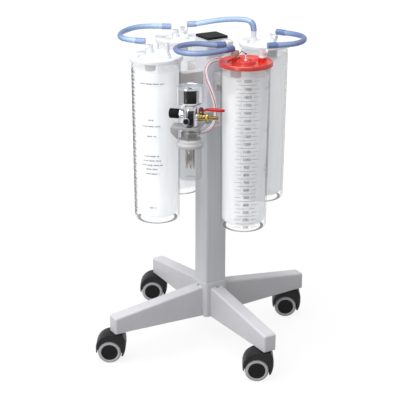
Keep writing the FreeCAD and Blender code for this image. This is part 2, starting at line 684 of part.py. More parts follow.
def manifold():
    """Block on the sleeve's front face that joins the front canister's hose and the jar's tube."""
    right = MANIFOLD_LEFT + MANIFOLD_WIDE
    body = block(MANIFOLD_LEFT, right, -FACE - MANIFOLD_DEEP, -FACE, MANIFOLD_BOTTOM, MANIFOLD_TOP)
    body = body.makeFillet(3.0, [e for e in body.Edges if e.BoundBox.YMax < -FACE - 1])
    hose_y, hose_z = MANIFOLD_HOSE
    tube_y, tube_z = MANIFOLD_TUBE
    arm = rod(ELBOW_RADIUS, (MANIFOLD_LEFT - 3, hose_y, hose_z), (MANIFOLD_LEFT + 2, hose_y, hose_z))
    nipple = rod(NIPPLE_RADIUS, (MANIFOLD_LEFT - 8, tube_y, tube_z), (MANIFOLD_LEFT + 2, tube_y, tube_z))
    bores = [rod(ELBOW_BORE, (MANIFOLD_LEFT - 9, hose_y, hose_z), (MANIFOLD_LEFT + 7, hose_y, hose_z)),
             rod(ELBOW_BORE, (MANIFOLD_LEFT - 9, tube_y, tube_z), (MANIFOLD_LEFT + 7, tube_y, tube_z))]
    return fused([body, arm, nipple]).cut(Part.makeCompound(bores))


def regulator_bracket():
    """Plate under the regulator with its gusset and the two flanges that clamp the sleeve's corner."""
    top = PLATE_BOTTOM + PLATE_THICK
    reach = math.hypot(REGULATOR_AT[0], REGULATOR_AT[1])
    plate = block(-PLATE_LEFT, PLATE_RIGHT, -PLATE_FRONT, PLATE_FRONT, PLATE_BOTTOM, top)
    plate = plate.makeFillet(5.0, upright_edges(plate))
    arm = block(-PLATE_FRONT, PLATE_RIGHT, 0, reach, PLATE_BOTTOM, top)
    gusset_low = PLATE_BOTTOM - GUSSET_DROP
    inner = NUT_ACROSS / math.sqrt(3) + 1.5
    gusset = extruded([(-PLATE_LEFT, top), (-PLATE_LEFT, PLATE_BOTTOM - GUSSET_DROP / 3),
                       (-inner - 2, gusset_low), (-inner, gusset_low), (-inner, top)],
                      -PLATE_FRONT, -PLATE_FRONT + GUSSET_THICK)
    neck_hole = cylinder(SPIGOT_RADIUS + FIT, 0, top + 1)
    upper = on_regulator(fused([plate, arm, gusset]).cut(neck_hole))
    out = FACE + CLAMP_THICK
    flanges = [block(-out, -FACE, -out, -FACE + CLAMP_LONG, top - CLAMP_HIGH, top),
               block(-out, -FACE + CLAMP_LONG, -out, -FACE, top - CLAMP_HIGH, top)]
    sleeve_space = block(-FACE, 3 * FACE, -FACE, 3 * FACE, 0, top + 1)
    trimmed = upper.cut(block(-FACE, 3 * FACE, -4 * FACE, 3 * FACE, 0, top + 1))
    trimmed = trimmed.cut(block(-4 * FACE, 3 * FACE, -FACE, 3 * FACE, 0, top + 1))
    return fused([trimmed] + flanges).cut(sleeve_space)


def regulator_body():
    """Turned regulator body with its domed shoulder, side bosses, gauge neck and lower spigot."""
    low = PLATE_BOTTOM + PLATE_THICK
    dome = BODY_TOP - BODY_SHOULDER
    bend = math.radians(50)
    outline = [
        Part.LineSegment(V(0, 0, low), V(BODY_RADIUS, 0, low)).toShape(),
        Part.LineSegment(V(BODY_RADIUS, 0, low), V(BODY_RADIUS, 0, BODY_SHOULDER)).toShape(),
        Part.Arc(V(BODY_RADIUS, 0, BODY_SHOULDER),
                 V(BODY_NECK + (BODY_RADIUS - BODY_NECK) * math.cos(bend), 0,
                   BODY_SHOULDER + dome * math.sin(bend)),
                 V(BODY_NECK, 0, BODY_TOP)).toShape(),
        Part.LineSegment(V(BODY_NECK, 0, BODY_TOP), V(BODY_NECK, 0, GAUGE_BOTTOM)).toShape(),
        Part.LineSegment(V(BODY_NECK, 0, GAUGE_BOTTOM), V(0, 0, GAUGE_BOTTOM)).toShape(),
        Part.LineSegment(V(0, 0, GAUGE_BOTTOM), V(0, 0, low)).toShape(),
    ]
    body = Part.Face(Part.Wire(outline)).revolve(V(0, 0, 0), UP, 360)
    groove = cylinder(BODY_RADIUS + 1, low + 4, low + 5.2).cut(cylinder(BODY_RADIUS - 0.8, low + 4, low + 5.2))
    knob_boss = rod(KNOB_RADIUS - 1.5, (-KNOB_NEAR + 1.5, 0, KNOB_AXIS), (0, 0, KNOB_AXIS))
    valve_boss = rod(VALVE_RADIUS + 1.5, (0, 0, VALVE_AXIS), (BODY_RADIUS + 2, 0, VALVE_AXIS))
    plug_boss = rod(PLUG_RADIUS + 1.5, (PLUG_PLACE[0], 0, PLUG_PLACE[1]),
                    (PLUG_PLACE[0], -BODY_RADIUS - 1, PLUG_PLACE[1]))
    spigot = cylinder(SPIGOT_RADIUS, NUT_BOTTOM, low)
    tip = cylinder(CAGE_NECK, CAGE_TOP - CAGE_ROOF, NUT_BOTTOM)
    body = fused([body.cut(groove), knob_boss, valve_boss, plug_boss, spigot, tip])
    shaft = rod(KNOB_SHAFT + FIT, (-KNOB_NEAR - 1, 0, KNOB_AXIS), (-KNOB_NEAR + 9, 0, KNOB_AXIS))
    return body.cut(shaft)


def port_plug():
    """Small round plug low on the body's front."""
    x, z = PLUG_PLACE
    disc = rod(PLUG_RADIUS, (x, -BODY_RADIUS - 3.5, z), (x, -BODY_RADIUS - 1, z))
    slot = block(x - 3, x + 3, -BODY_RADIUS - 4, -BODY_RADIUS - 2.7, z - 0.6, z + 0.6)
    return disc.cut(slot)


def gauge_case():
    """Gauge drum with a chamfered foot and a bezel lip, face up."""
    seat = DIAL_TOP - DIAL_THICK
    inner = GAUGE_RADIUS - GAUGE_WALL
    lip = inner - 1.5
    return turned([(0, GAUGE_BOTTOM), (GAUGE_RADIUS - GAUGE_CHAMFER, GAUGE_BOTTOM),
                   (GAUGE_RADIUS - GAUGE_CHAMFER / 3, GAUGE_BOTTOM + GAUGE_CHAMFER / 3),
                   (GAUGE_RADIUS, GAUGE_BOTTOM + GAUGE_CHAMFER), (GAUGE_RADIUS, GAUGE_TOP - 1.5),
                   (GAUGE_RADIUS - 1.5, GAUGE_TOP), (lip, GAUGE_TOP), (lip, GAUGE_TOP - 1),
                   (inner, GAUGE_TOP - 1), (inner, seat), (0, seat)])


def gauge_dial():
    """Dial plate with the pin that the needle turns on."""
    inner = GAUGE_RADIUS - GAUGE_WALL - FIT
    seat = DIAL_TOP - DIAL_THICK
    return turned([(0, seat), (inner, seat), (inner, DIAL_TOP), (NEEDLE_PIN, DIAL_TOP),
                   (NEEDLE_PIN, DIAL_TOP + 2.6), (0, DIAL_TOP + 2.6)])


def gauge_needle():
    """Needle on its hub, at rest at zero."""
    low = DIAL_TOP + RUN
    hub = cylinder(NEEDLE_HUB, low, low + 1.8)
    blade = face_of([(1.2, 0, low + 0.5), (0.5, NEEDLE_LONG, low + 0.5), (-0.5, NEEDLE_LONG, low + 0.5),
                     (-1.2, 0, low + 0.5), (-1.6, -7, low + 0.5), (1.6, -7, low + 0.5)]).extrude(V(0, 0, 0.7))
    blade.rotate(V(0, 0, 0), UP, NEEDLE_REST)
    return fused([hub, blade]).cut(cylinder(NEEDLE_PIN + FIT, 0, GAUGE_TOP))


def gauge_lens():
    """Clear disc under the bezel lip, seated on the case's ledge."""
    top = GAUGE_TOP - 1
    return cylinder(GAUGE_RADIUS - GAUGE_WALL - FIT, top - LENS_THICK, top)


def pressure_knob():
    """Knurled knob with its shaft in the body."""
    far = -KNOB_NEAR - KNOB_LONG
    grip = rod(KNOB_RADIUS, (far, 0, KNOB_AXIS), (-KNOB_NEAR, 0, KNOB_AXIS))
    grip = grip.makeChamfer(1.0, [e for e in grip.Edges if e.BoundBox.XLength < 0.01])
    shaft = rod(KNOB_SHAFT, (-KNOB_NEAR - 1, 0, KNOB_AXIS), (-KNOB_NEAR + 8, 0, KNOB_AXIS))
    grooves = []
    for k in range(KNOB_GROOVES):
        turn = 2 * math.pi * k / KNOB_GROOVES
        y = KNOB_RADIUS * math.cos(turn)
        z = KNOB_AXIS + KNOB_RADIUS * math.sin(turn)
        grooves.append(rod(0.8, (far - 1, y, z), (-KNOB_NEAR - 4, y, z)))
    return fused([grip, shaft]).cut(Part.makeCompound(grooves))


def along_valve(outline):
    """Solid of revolution about the valve's axis from an outline of (distance, radius) points."""
    shape = face_of([(d, 0, r) for d, r in outline]).revolve(V(0, 0, 0), V(1, 0, 0), 360)
    shape.translate(V(0, 0, VALVE_AXIS))
    return shape


def valve_body():
    """Brass ball valve body with its hexagonal end and the gland for the stem."""
    start = BODY_RADIUS + 2
    middle = LEVER_AT
    body = along_valve([(start, 0), (start, VALVE_RADIUS), (middle - 6, VALVE_RADIUS),
                        (middle - 4, VALVE_RADIUS + 1.8), (middle + 4, VALVE_RADIUS + 1.8),
                        (middle + 6, VALVE_RADIUS), (VALVE_END, VALVE_RADIUS), (VALVE_END, 0)])
    nut = hexagon(2 * VALVE_RADIUS + 2, 0, VALVE_NUT - VALVE_END)
    nut.rotate(V(0, 0, 0), V(0, 1, 0), 90)
    nut.translate(V(VALVE_END, 0, VALVE_AXIS))
    gland_top = LEVER_UNDER - RUN
    gland = cylinder(VALVE_STEM + 2.6, VALVE_AXIS, gland_top, LEVER_AT)
    bore = cylinder(VALVE_STEM + FIT, VALVE_AXIS + 3, gland_top + 1, LEVER_AT)
    return fused([body, nut, gland]).cut(bore)


def hose_barb():
    """Plain hose end of the valve, open along its axis."""
    barb = along_valve([(VALVE_NUT, 0), (VALVE_NUT, BARB_RADIUS), (BARB_END, BARB_RADIUS), (BARB_END, 0)])
    return barb.cut(rod(BARB_BORE, (VALVE_NUT + 4, 0, VALVE_AXIS), (BARB_END + 1, 0, VALVE_AXIS)))


def valve_lever():
    """Cranked lever of the ball valve, drawn open, along the valve."""
    low = LEVER_UNDER
    rise = low + LEVER_LIFT
    side = extruded([(0, low), (8, low), (14, rise), (LEVER_TIP - LEVER_AT, rise),
                     (LEVER_TIP - LEVER_AT, rise + LEVER_THICK), (13, rise + LEVER_THICK),
                     (7, low + LEVER_THICK), (0, low + LEVER_THICK)], -LEVER_WIDE / 2, LEVER_WIDE / 2)
    ring = cylinder(LEVER_WIDE / 2 + 1.5, low, low + LEVER_THICK)
    lever = fused([side, ring])
    tip = [e for e in upright_edges(lever) if e.BoundBox.XMin > LEVER_TIP - LEVER_AT - 0.1]
    lever = lever.makeFillet(LEVER_WIDE / 2 - 0.5, tip)
    lever = lever.cut(cylinder(VALVE_STEM, 0, low + 9))
    lever.translate(V(LEVER_AT, 0, 0))
    return lever


def valve_stem():
    """Stem that turns the ball, with the nut that holds the lever."""
    top = LEVER_UNDER + LEVER_THICK
    stem = cylinder(VALVE_STEM, VALVE_AXIS + 3.2, top, LEVER_AT)
    nut = hexagon(3 * VALVE_STEM, top, top + 4)
    nut.translate(V(LEVER_AT, 0, 0))
    tip = cylinder(VALVE_STEM * 0.8, top + 4, top + 5.5, LEVER_AT)
    return fused([stem, nut, tip])


def jar_nut():
    """Hexagonal union nut below the plate, with the nipple for the tube to the post."""
    nut = hexagon(NUT_ACROSS, NUT_BOTTOM, NUT_TOP)
    ring = cylinder(NUT_ACROSS / 2 - 1, NUT_TOP, PLATE_BOTTOM)
    turn = -math.radians(REGULATOR_TURN)
    way = V(math.cos(turn), math.sin(turn), 0)
    level = NUT_BOTTOM + NUT_NIPPLE_RISE
    start = way * (NUT_ACROSS / 2 - 3) + UP * level
    end = way * NUT_NIPPLE_END + UP * level
    shape = fused([nut, ring, rod(NUT_NIPPLE, start, end)])
    return shape.cut(cylinder(SPIGOT_RADIUS + FIT, NUT_BOTTOM - 1, PLATE_BOTTOM + 1))


def jar_collar():
    """White screw collar that holds the jar's mouth."""
    inner = JAR_RADIUS + FIT
    return turned([(CAGE_NECK + FIT, JAR_TOP), (inner, JAR_TOP), (inner, COLLAR_BOTTOM),
                   (COLLAR_RADIUS - 1.5, COLLAR_BOTTOM), (COLLAR_RADIUS, COLLAR_BOTTOM + 2),
                   (COLLAR_RADIUS, NUT_BOTTOM - 5), (COLLAR_RADIUS - 1.5, NUT_BOTTOM - 1.8),
                   (COLLAR_RADIUS - 5, NUT_BOTTOM), (CAGE_NECK + FIT, NUT_BOTTOM)])


def safety_jar():
    """Small clear jar with a rounded foot, its mouth against the collar's roof."""
    outer = cylinder(JAR_RADIUS, JAR_BOTTOM, JAR_TOP)
    outer = outer.makeFillet(6.0, [e for e in outer.Edges if e.BoundBox.ZMax < JAR_BOTTOM + 0.1])
    inner = cylinder(JAR_RADIUS - JAR_WALL, JAR_BOTTOM + JAR_WALL, NUT_TOP)
    inner = inner.makeFillet(4.0, [e for e in inner.Edges if e.BoundBox.ZMax < JAR_BOTTOM + JAR_WALL + 0.1])
    return outer.cut(inner)


def float_cage():
    """Fluted metal cage of the overflow float, scalloped at its lower end."""
    inner = CAGE_RADIUS - CAGE_WALL
    under = CAGE_TOP - CAGE_ROOF
    shell = turned([(CAGE_NECK, under), (inner, under), (inner, CAGE_BOTTOM),
                    (CAGE_RADIUS, CAGE_BOTTOM), (CAGE_RADIUS, CAGE_TOP), (CAGE_NECK, CAGE_TOP)])
    cuts = []
    for k in range(CAGE_FLUTES):
        turn = 360 * k / CAGE_FLUTES
        notch = rod(2.4, (0, 0, CAGE_BOTTOM), (CAGE_RADIUS + 1, 0, CAGE_BOTTOM))
        slot = block(0, CAGE_RADIUS + 1, -1.1, 1.1, CAGE_BOTTOM + 9, CAGE_TOP - 12)
        cuts.append(spun(notch, turn))
        cuts.append(spun(slot, turn + 180 / CAGE_FLUTES))
    return shell.cut(Part.makeCompound(cuts))


def castors():
    """Hood and wheel pair of each castor."""
    nodes = {}
    for side in SIDES:
        nodes["castor_hood_" + side] = on_castor(castor_hood(), side)
        nodes["castor_wheels_" + side] = on_castor(castor_wheels(), side)
    return nodes


def canisters():
    """Canister, liner, lid and hanger on each side of the post."""
    nodes = {}
    for side, turn in SIDES.items():
        at = canister_axis(side)
        nodes["canister_" + side] = placed(canister(), at.x, at.y, turn)
        nodes["liner_" + side] = placed(liner(), at.x, at.y)
        nodes["lid_" + side] = placed(lid(side), at.x, at.y)
        nodes["hanger_" + side] = spun(hanger(), turn)
    return nodes


def fittings():
    """Elbows and connectors on the lids, grouped by canister, and the patient's nipple."""
    vacuum = {side: port_at(side, VACUUM_PORT) for side in SIDES}
    patient = {side: port_at(side, PATIENT_PORT) for side in SIDES}
    ends = {
        "elbows_front": [(vacuum["front"], FRONT_TO_POST[0]), (patient["front"], FRONT_TO_RIGHT[0])],
        "elbow_left": [(vacuum["left"], LEFT_TO_BACK[0])],
        "elbows_back": [(patient["back"], LEFT_TO_BACK[-1]), (vacuum["back"], BACK_TO_RIGHT[0])],
        "elbow_right": [(vacuum["right"], FRONT_TO_RIGHT[-1])],
    }
    nodes = {}
    for name, places in ends.items():
        pieces = [elbow(port, toward, ELBOW_AXIS, ELBOW_ARM, PORT_TOP) for port, toward in places]
        nodes[name] = Part.makeCompound(pieces)
    nodes["connector_right"] = straight_connector(patient["right"])
    nodes["patient_nipple"] = patient_nipple(patient["left"])
    return nodes


def hoses():
    """The four blue hoses and the thin tube from the jar, each from face to face."""
    hose_y, hose_z = MANIFOLD_HOSE
    tube_y, tube_z = MANIFOLD_TUBE
    front = level_end(port_at("front", VACUUM_PORT), FRONT_TO_POST[0], ELBOW_ARM)
    left = level_end(port_at("left", VACUUM_PORT), LEFT_TO_BACK[0], ELBOW_ARM)
    back_in = level_end(port_at("back", PATIENT_PORT), LEFT_TO_BACK[-1], ELBOW_ARM)
    back_out = level_end(port_at("back", VACUUM_PORT), BACK_TO_RIGHT[0], ELBOW_ARM)
    right_in = port_at("right", PATIENT_PORT) + UP * STRAIGHT_TOP
    front_in = level_end(port_at("front", PATIENT_PORT), FRONT_TO_RIGHT[0], ELBOW_ARM)
    right_out = level_end(port_at("right", VACUUM_PORT), FRONT_TO_RIGHT[-1], ELBOW_ARM)
    jar = V(REGULATOR_AT[0] + NUT_NIPPLE_END, REGULATOR_AT[1], NUT_BOTTOM + NUT_NIPPLE_RISE)
    routes = {
        "hose_front_to_post": [front] + FRONT_TO_POST + [(MANIFOLD_LEFT - 3, hose_y, hose_z)],
        "hose_left_to_back": [left] + LEFT_TO_BACK + [back_in],
        "hose_back_to_right": [back_out] + BACK_TO_RIGHT + [right_in],
        "hose_front_to_right": [front_in] + FRONT_TO_RIGHT + [right_out],
    }
    nodes = {name: hose(name, route, HOSE_RADIUS) for name, route in routes.items()}
    tube = [jar] + JAR_TO_POST + [(MANIFOLD_LEFT - 8, tube_y, tube_z)]
    nodes["vacuum_tube"] = hose("vacuum_tube", tube, TUBE_RADIUS)
    return nodes


def regulator():
    """The regulator's pieces in their place beside the post."""
    upright = {
        "regulator_body": regulator_body, "port_plug": port_plug, "gauge_case": gauge_case,
        "gauge_dial": gauge_dial, "gauge_needle": gauge_needle, "gauge_lens": gauge_lens,
        "pressure_knob": pressure_knob, "valve_body": valve_body, "hose_barb": hose_barb,
        "valve_lever": valve_lever, "valve_stem": valve_stem, "jar_nut": jar_nut,
        "jar_collar": jar_collar, "safety_jar": safety_jar, "float_cage": float_cage,
    }
    nodes = {name: on_regulator(make()) for name, make in upright.items()}
    nodes["regulator_bracket"] = regulator_bracket()
    return nodes


def all_nodes():
    """Every node of the part, drawn round the post's axis."""
    nodes = {
        "base_cross": base_cross(), "post": post(), "post_cap": post_cap(),
        "carrier_sleeve": carrier_sleeve(), "base_screws": base_screws(), "sleeve_screws": sleeve_screws(),
        "castor_stems": Part.makeCompound([on_castor(castor_stem(), side) for side in SIDES]),
        "manifold": manifold(),
    }
    for group in (castors(), canisters(), fittings(), regulator()):
        nodes.update(group)
    return nodes


def main():
    """Centre the trolley on its footprint without the hoses, and write one file per node."""
    nodes = all_nodes()
    box = Part.makeCompound(list(nodes.values())).BoundBox
    shift = V(-box.Center.x, -box.Center.y, 0)
    nodes.update(hoses())
    os.makedirs("parts", exist_ok=True)
    for name, shape in nodes.items():
        shape.translate(shift)
        shape.exportStep("parts/" + name + ".step")
    print(len(nodes), "nodes, post axis at", round(shift.x, 4), round(shift.y, 4), "height", round(box.ZMax, 2))


main()
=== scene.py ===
import bpy
import json
import math
from mathutils import Matrix, Vector


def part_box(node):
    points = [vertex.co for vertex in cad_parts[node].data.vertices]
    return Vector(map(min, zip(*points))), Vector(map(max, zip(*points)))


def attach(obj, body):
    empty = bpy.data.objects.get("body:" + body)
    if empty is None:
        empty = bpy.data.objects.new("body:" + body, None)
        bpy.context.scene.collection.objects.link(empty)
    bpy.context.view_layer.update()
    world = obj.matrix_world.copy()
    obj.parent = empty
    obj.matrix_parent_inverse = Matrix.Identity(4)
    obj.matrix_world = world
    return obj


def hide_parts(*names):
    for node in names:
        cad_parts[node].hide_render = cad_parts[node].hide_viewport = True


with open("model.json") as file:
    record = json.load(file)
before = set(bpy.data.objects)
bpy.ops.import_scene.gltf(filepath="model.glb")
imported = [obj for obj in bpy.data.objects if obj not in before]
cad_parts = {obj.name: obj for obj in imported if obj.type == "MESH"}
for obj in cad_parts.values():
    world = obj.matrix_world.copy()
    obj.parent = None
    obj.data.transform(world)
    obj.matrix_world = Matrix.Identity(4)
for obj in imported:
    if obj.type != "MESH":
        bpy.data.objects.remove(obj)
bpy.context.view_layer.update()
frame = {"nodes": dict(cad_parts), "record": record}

# Suction canister trolley. Heights and sizes are in millimetres, turned to metres by MM.
# Every piece is placed from the axis of the square post, and each side of the post is drawn
# as the front one, facing -Y, and turned about the post.

MM = 0.001
POST_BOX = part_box("post")
AXIS = Vector(((POST_BOX[0].x + POST_BOX[1].x) / 2, (POST_BOX[0].y + POST_BOX[1].y) / 2, 0))
SIDES = {"front": 0, "left": -90, "back": 180, "right": 90}

# The photograph's camera: its place, its azimuth, yaw, pitch and roll, and its focal length in sensor widths
CAMERA_AT = (-1236.4, -2045.4, 1199.5)
CAMERA_ANGLES = (-31.153, 0.547, 20.147, 0.197)
CAMERA_FOCAL = 2.96202

# Canisters, liners and lids
CANISTER_OUT = 130.0
CANISTER_RADIUS = 50.0
CANISTER_FOOT_RADIUS = 46.8
CANISTER_BOTTOM = 309.0
CANISTER_TOP = 645.5
CANISTER_WALL = 2.5
LINER_LIFT = 12.0
CANISTER_CORNER = 9.0
RIM_OUT = 1.4
RIM_RISE = 2.0
RIM_HIGH = 4.0
LUG_BOTTOM = 582.0
LUG_HIGH = 28.0
LUG_NECK = 8.0
LUG_NECK_DEEP = 4.0
LUG_HEAD = 15.0
LUG_HEAD_DEEP = 4.0
LID_RADIUS = 54.5
LID_RIBS = 8
FILTER_DEEP = 28.0
CLEAR_FROM = 634.0

# Printed scale of the canisters, and the rows of print beside it: height, first and last angle
SCALE_FOOT = 306.0
SCALE_STEP = 16.0
SCALE_MARKS = 20
SCALE_ANGLE = -27.0
SCALE_DEEP = 1.5
NUMBER_SIZE = 8.0
LINE_THICK = 0.7
LINE_AWAY, LINE_WIDE, MIDDLE_WIDE = 20.5, 14.5, 44
PRINT_LIFT = 0.12
NUMBER_SWELL = 0.12
PRINT_ROWS = [(608, 18, 80), (533.5, 38, 59), (520.5, 23, 76), (499.7, 35, 62), (457.5, 26, 70), (448, 23, 75),
              (438.5, 18, 78), (430, 31, 67), (420, 29, 69), (346.4, 38, 62)]

# Ports on the lids, from each canister's axis, and what stands in them
VACUUM_PORT = {"front": (-6.2, 25.9), "left": (2.9, 29.7), "back": (15.6, 16.3), "right": (11.6, -11.6)}
PATIENT_PORT = {"front": (35.5, -5.0), "left": (12.9, -24.1), "back": (-10.8, -0.5), "right": (-17.1, 16.1)}
PORT_TOP = 659.0
HOSE_LEVEL = 677.0
TALL_LEVEL = 682.0
STRAIGHT_TOP = 676.0
PEG_TOP = 668.5
ELBOW_RADIUS = 6.0
ELBOW_ARM = 10.0

# Castors
CASTOR_OUT = 226.5
TRAIL = 19.3
TRAIL_TURN = 149.0
WHEEL_RADIUS = 25.0

# Vacuum regulator
REGULATOR_AT = (-103.5, -90.7)
REGULATOR_TURN = -45.0
JAR_FOOT = 417.0
COLLAR_BOTTOM = 485.0
NUT_BOTTOM = 501.0
TUBE_LEVEL = 511.0
NUT_TOP = 517.0
PLATE_TOP = 527.0
SHOULDER = 562.0
GAUGE_FOOT = 574.0
DIAL_FOOT = 601.0
DIAL_FACE = 602.5
GAUGE_TOP = 609.0
DIAL_SWEEP = 270
DIAL_TICKS = 30
DIAL_NUMBERS = 5
KNOB_AXIS = 551.0
KNOB_NEAR = 21.0
VALVE_AXIS = 547.0
LEVER_AT = 22.7
LEVER_LEVEL = 563.5
PLUG_AXIS = 540.0
# Vinyl grip of the lever: its end and its neck (reach, width, depth), then each step along it and its scale
GRIP_ROOT = (30, 3.0, 2.6)
GRIP_NECK = (36, 9.4, 5.0)
GRIP_STEPS = [(8, 1.06), (14, 1.02), (9, 0.9), (3.4, 0.62)]

# Hoses: the points that their centre lines follow, from the post's axis
HOSE_RADIUS = 5.5
TUBE_RADIUS = 4.5
CUFF_RADIUS = 6.2
CUFF_LONG = 20.0
CORD_ROUNDING = 6
STRIPE_RADIUS = 1.1
STRIPE_SINK = 0.7
HOSE_ROUTES = {
    "hose_front_to_post": [(-15.69, -107.25, 677), (-30, -112, 677), (-58, -117, 677), (-88, -119, 677.5),
                           (-109, -111.5, 678), (-121.5, -96, 678), (-125, -76.5, 678), (-118, -57, 678),
                           (-101.5, -42, 678), (-79, -33, 677.5), (-54, -31, 676.5), (-31, -36.5, 673),
                           (-11, -43, 670), (6, -43, 670)],
    "hose_left_to_back": [(-134.7, 36.2, 677), (-145, 45, 677), (-160, 61, 678), (-165, 84, 678),
                          (-156, 109, 678), (-137, 133, 678), (-111, 153, 678), (-83, 164, 678),
                          (-58, 160, 677.5), (-37, 147, 677), (-19.12, 135.05, 677)],
    "hose_back_to_right": [(23.11, 139.7, 677), (33, 131, 677), (52, 112, 683), (71, 89, 690), (88, 62, 695),
                           (99.5, 41, 697), (108.4, 24.8, 696.2), (112.9, 16.1, 687.5), (112.9, 16.1, 676)],
    "hose_front_to_right": [(44.94, -138.29, 682), (57, -142.5, 682), (81, -149, 681.5), (107, -148, 681),
                            (131, -137, 680.5), (149.5, -118, 680.5), (159.5, -94, 680), (163, -67, 678.5),
                            (157.5, -41, 677), (146.36, -20.4, 677)],
    "vacuum_tube": [(-81.5, -90.7, 511), (-66, -90.7, 511), (-52, -91.5, 519.5), (-44, -90, 534),
                    (-40.5, -84, 551), (-39, -75, 567.5), (-39.5, -66, 583), (-41.5, -57.5, 597.5),
                    (-43, -50.5, 611.5), (-41.5, -45, 625.5), (-32, -41, 636.5), (-17.5, -38.5, 641),
                    (1, -38.5, 641)],
}
HOSE_FINISHES = {"hose_left_to_back": "hose_sky", "hose_back_to_right": "hose_sky", "vacuum_tube": "tube_clear"}

# Surroundings: soft lights as (place, size, power), and cards as (first angle, last angle, shade)
FILL_STRENGTH = 0.58
OVERHEAD_STRENGTH = 2.8
FLOOR_GLOW = 0.86
STRIPS = {"left_strip": ((-2.0, -0.9, 1.0), (0.5, 1.8), 8), "right_strip": ((1.6, -1.8, 1.1), (0.35, 1.6), 0.5)}
CARDS = {"dark_card": (-56, 56, 0.008), "left_card": (-152, -112, 0.22), "left_near_card": (-112, -56, 0.34),
         "right_near_card": (56, 112, 0.36), "right_card": (120, 150, 0.40)}


# Finishes


SOCKETS = {"ior": "IOR", "specular_ior_level": "Specular IOR Level", "subsurface_weight": "Subsurface Weight"}


class Number:
    """A shader value that changes over a surface. Arithmetic on it adds Math nodes."""

    def __init__(self, finish, socket):
        self.finish, self.socket = finish, socket

    def __add__(self, other):
        return self.finish.math("ADD", self, other)

    def __radd__(self, other):
        return self.finish.math("ADD", other, self)

    def __mul__(self, other):
        return self.finish.math("MULTIPLY", self, other)

    def __rmul__(self, other):
        return self.finish.math("MULTIPLY", other, self)

    def __lt__(self, other):
        return self.finish.math("LESS_THAN", self, other)

    def __gt__(self, other):
        return self.finish.math("GREATER_THAN", self, other)


class Finish:
    """A material under construction: its main shader, and the nodes that feed it."""

    def __init__(self, name, colour, **sockets):
        self.material = bpy.data.materials.new(name)
        self.material.use_nodes = True
        self.tree = self.material.node_tree
        self.shader = self.tree.nodes["Principled BSDF"]
        self.shader.inputs["Base Color"].default_value = (*colour, 1)
        for socket, value in sockets.items():
            self.shader.inputs[SOCKETS.get(socket, socket.title())].default_value = value

    def node(self, kind, settings, inputs):
        """Adds a node, gives it its settings, and then the values or links of its sockets."""
        made = self.tree.nodes.new(kind)
        for setting, value in settings.items():
            if setting == "stops":
                ramp = made.color_ramp.elements
                while len(ramp) < len(value):
                    ramp.new(0.5)
                for stop, (place, colour) in zip(ramp, value):
                    stop.position, stop.color = place, (*colour, 1)
            else:
                setattr(made, setting, value)
        for socket, value in inputs.items():
            if isinstance(value, Number):
                value = value.socket
            if isinstance(value, bpy.types.NodeSocket):
                self.tree.links.new(value, made.inputs[socket])
            else:
                made.inputs[socket].default_value = value
        return made

    def math(self, operation, *terms):
        made = self.node("ShaderNodeMath", {"operation": operation}, dict(enumerate(terms)))
        return Number(self, made.outputs[0])

    def place(self):
        """Where a point of the piece is, in metres."""
        return self.node("ShaderNodeTexCoord", {}, {}).outputs["Object"]

    def split(self, vector):
        """The three numbers of a vector."""
        parts = self.node("ShaderNodeSeparateXYZ", {}, {0: vector})
        return [Number(self, socket) for socket in parts.outputs]

    def stretched(self, x, y, z):
        """The place with each axis scaled, for a grain that runs one way."""
        scaled = self.node("ShaderNodeVectorMath", {"operation": "MULTIPLY"}, {0: self.place(), 1: (x, y, z)})
        return scaled.outputs[0]

    def noise(self, scale, detail=2.0, vector=None):
        """Cloudy variation between 0 and 1."""
        made = self.node("ShaderNodeTexNoise", {}, {"Scale": scale, "Detail": detail,
                                                    "Vector": vector or self.place()})
        return Number(self, made.outputs["Fac"])

    def facing(self):
        """How steeply the surface is seen: 0 face on, 1 at its edge."""
        return Number(self, self.node("ShaderNodeLayerWeight", {}, {"Blend": 0.5}).outputs["Facing"])

    def eased(self, number, low, high, first, last):
        """Goes smoothly from the first value to the last as a number goes from low to high."""
        made = self.node("ShaderNodeMapRange", {"interpolation_type": "SMOOTHSTEP"},
                         {"Value": number, "From Min": low, "From Max": high, "To Min": first, "To Max": last})
        return Number(self, made.outputs["Result"])

    def ramp(self, number, *stops):
        """A colour for each value of a number."""
        return self.node("ShaderNodeValToRGB", {"stops": stops}, {0: number}).outputs["Color"]

    def coloured(self, colour):
        self.tree.links.new(colour, self.shader.inputs["Base Color"])

    def varied(self, socket, number):
        """Lets a number drive one of the shader's sockets."""
        self.tree.links.new(number.socket, self.shader.inputs[socket])

    def raised(self, height, strength, depth):
        """Surface relief from a height between 0 and 1 and its depth in millimetres."""
        bump = self.node("ShaderNodeBump", {}, {"Height": height, "Strength": strength, "Distance": depth * MM})
        self.tree.links.new(bump.outputs[0], self.shader.inputs["Normal"])


def shades(finish, scale, first, second, low=0.4, high=0.6):
    """Cloudy change between two near colours."""
    finish.coloured(finish.ramp(finish.noise(scale, 3.0), (low, first), (high, second)))


def cast_paint():
    """Powder coat on the cast base: off-white, with a fine orange-peel grain."""
    finish = Finish("base_powder_coat", (0.57, 0.57, 0.60), roughness=0.42)
    shades(finish, 14, (0.56, 0.56, 0.585), (0.59, 0.59, 0.615))
    finish.varied("Roughness", finish.noise(60) * 0.12 + 0.36)
    finish.raised(finish.noise(900, 1.0), 0.25, 0.12)
    return finish.material


def post_paint():
    """Satin grey paint on the drawn steel tube, with faint lengthwise streaks."""
    finish = Finish("post_satin_paint", (0.60, 0.61, 0.63), roughness=0.35)
    streaks = finish.noise(1, 3.0, finish.stretched(120, 120, 3))
    finish.coloured(finish.ramp(streaks, (0.35, (0.55, 0.56, 0.585)), (0.65, (0.585, 0.595, 0.615))))
    finish.varied("Roughness", streaks * 0.15 + 0.28)
    finish.raised(finish.noise(1100, 1.0), 0.15, 0.08)
    return finish.material


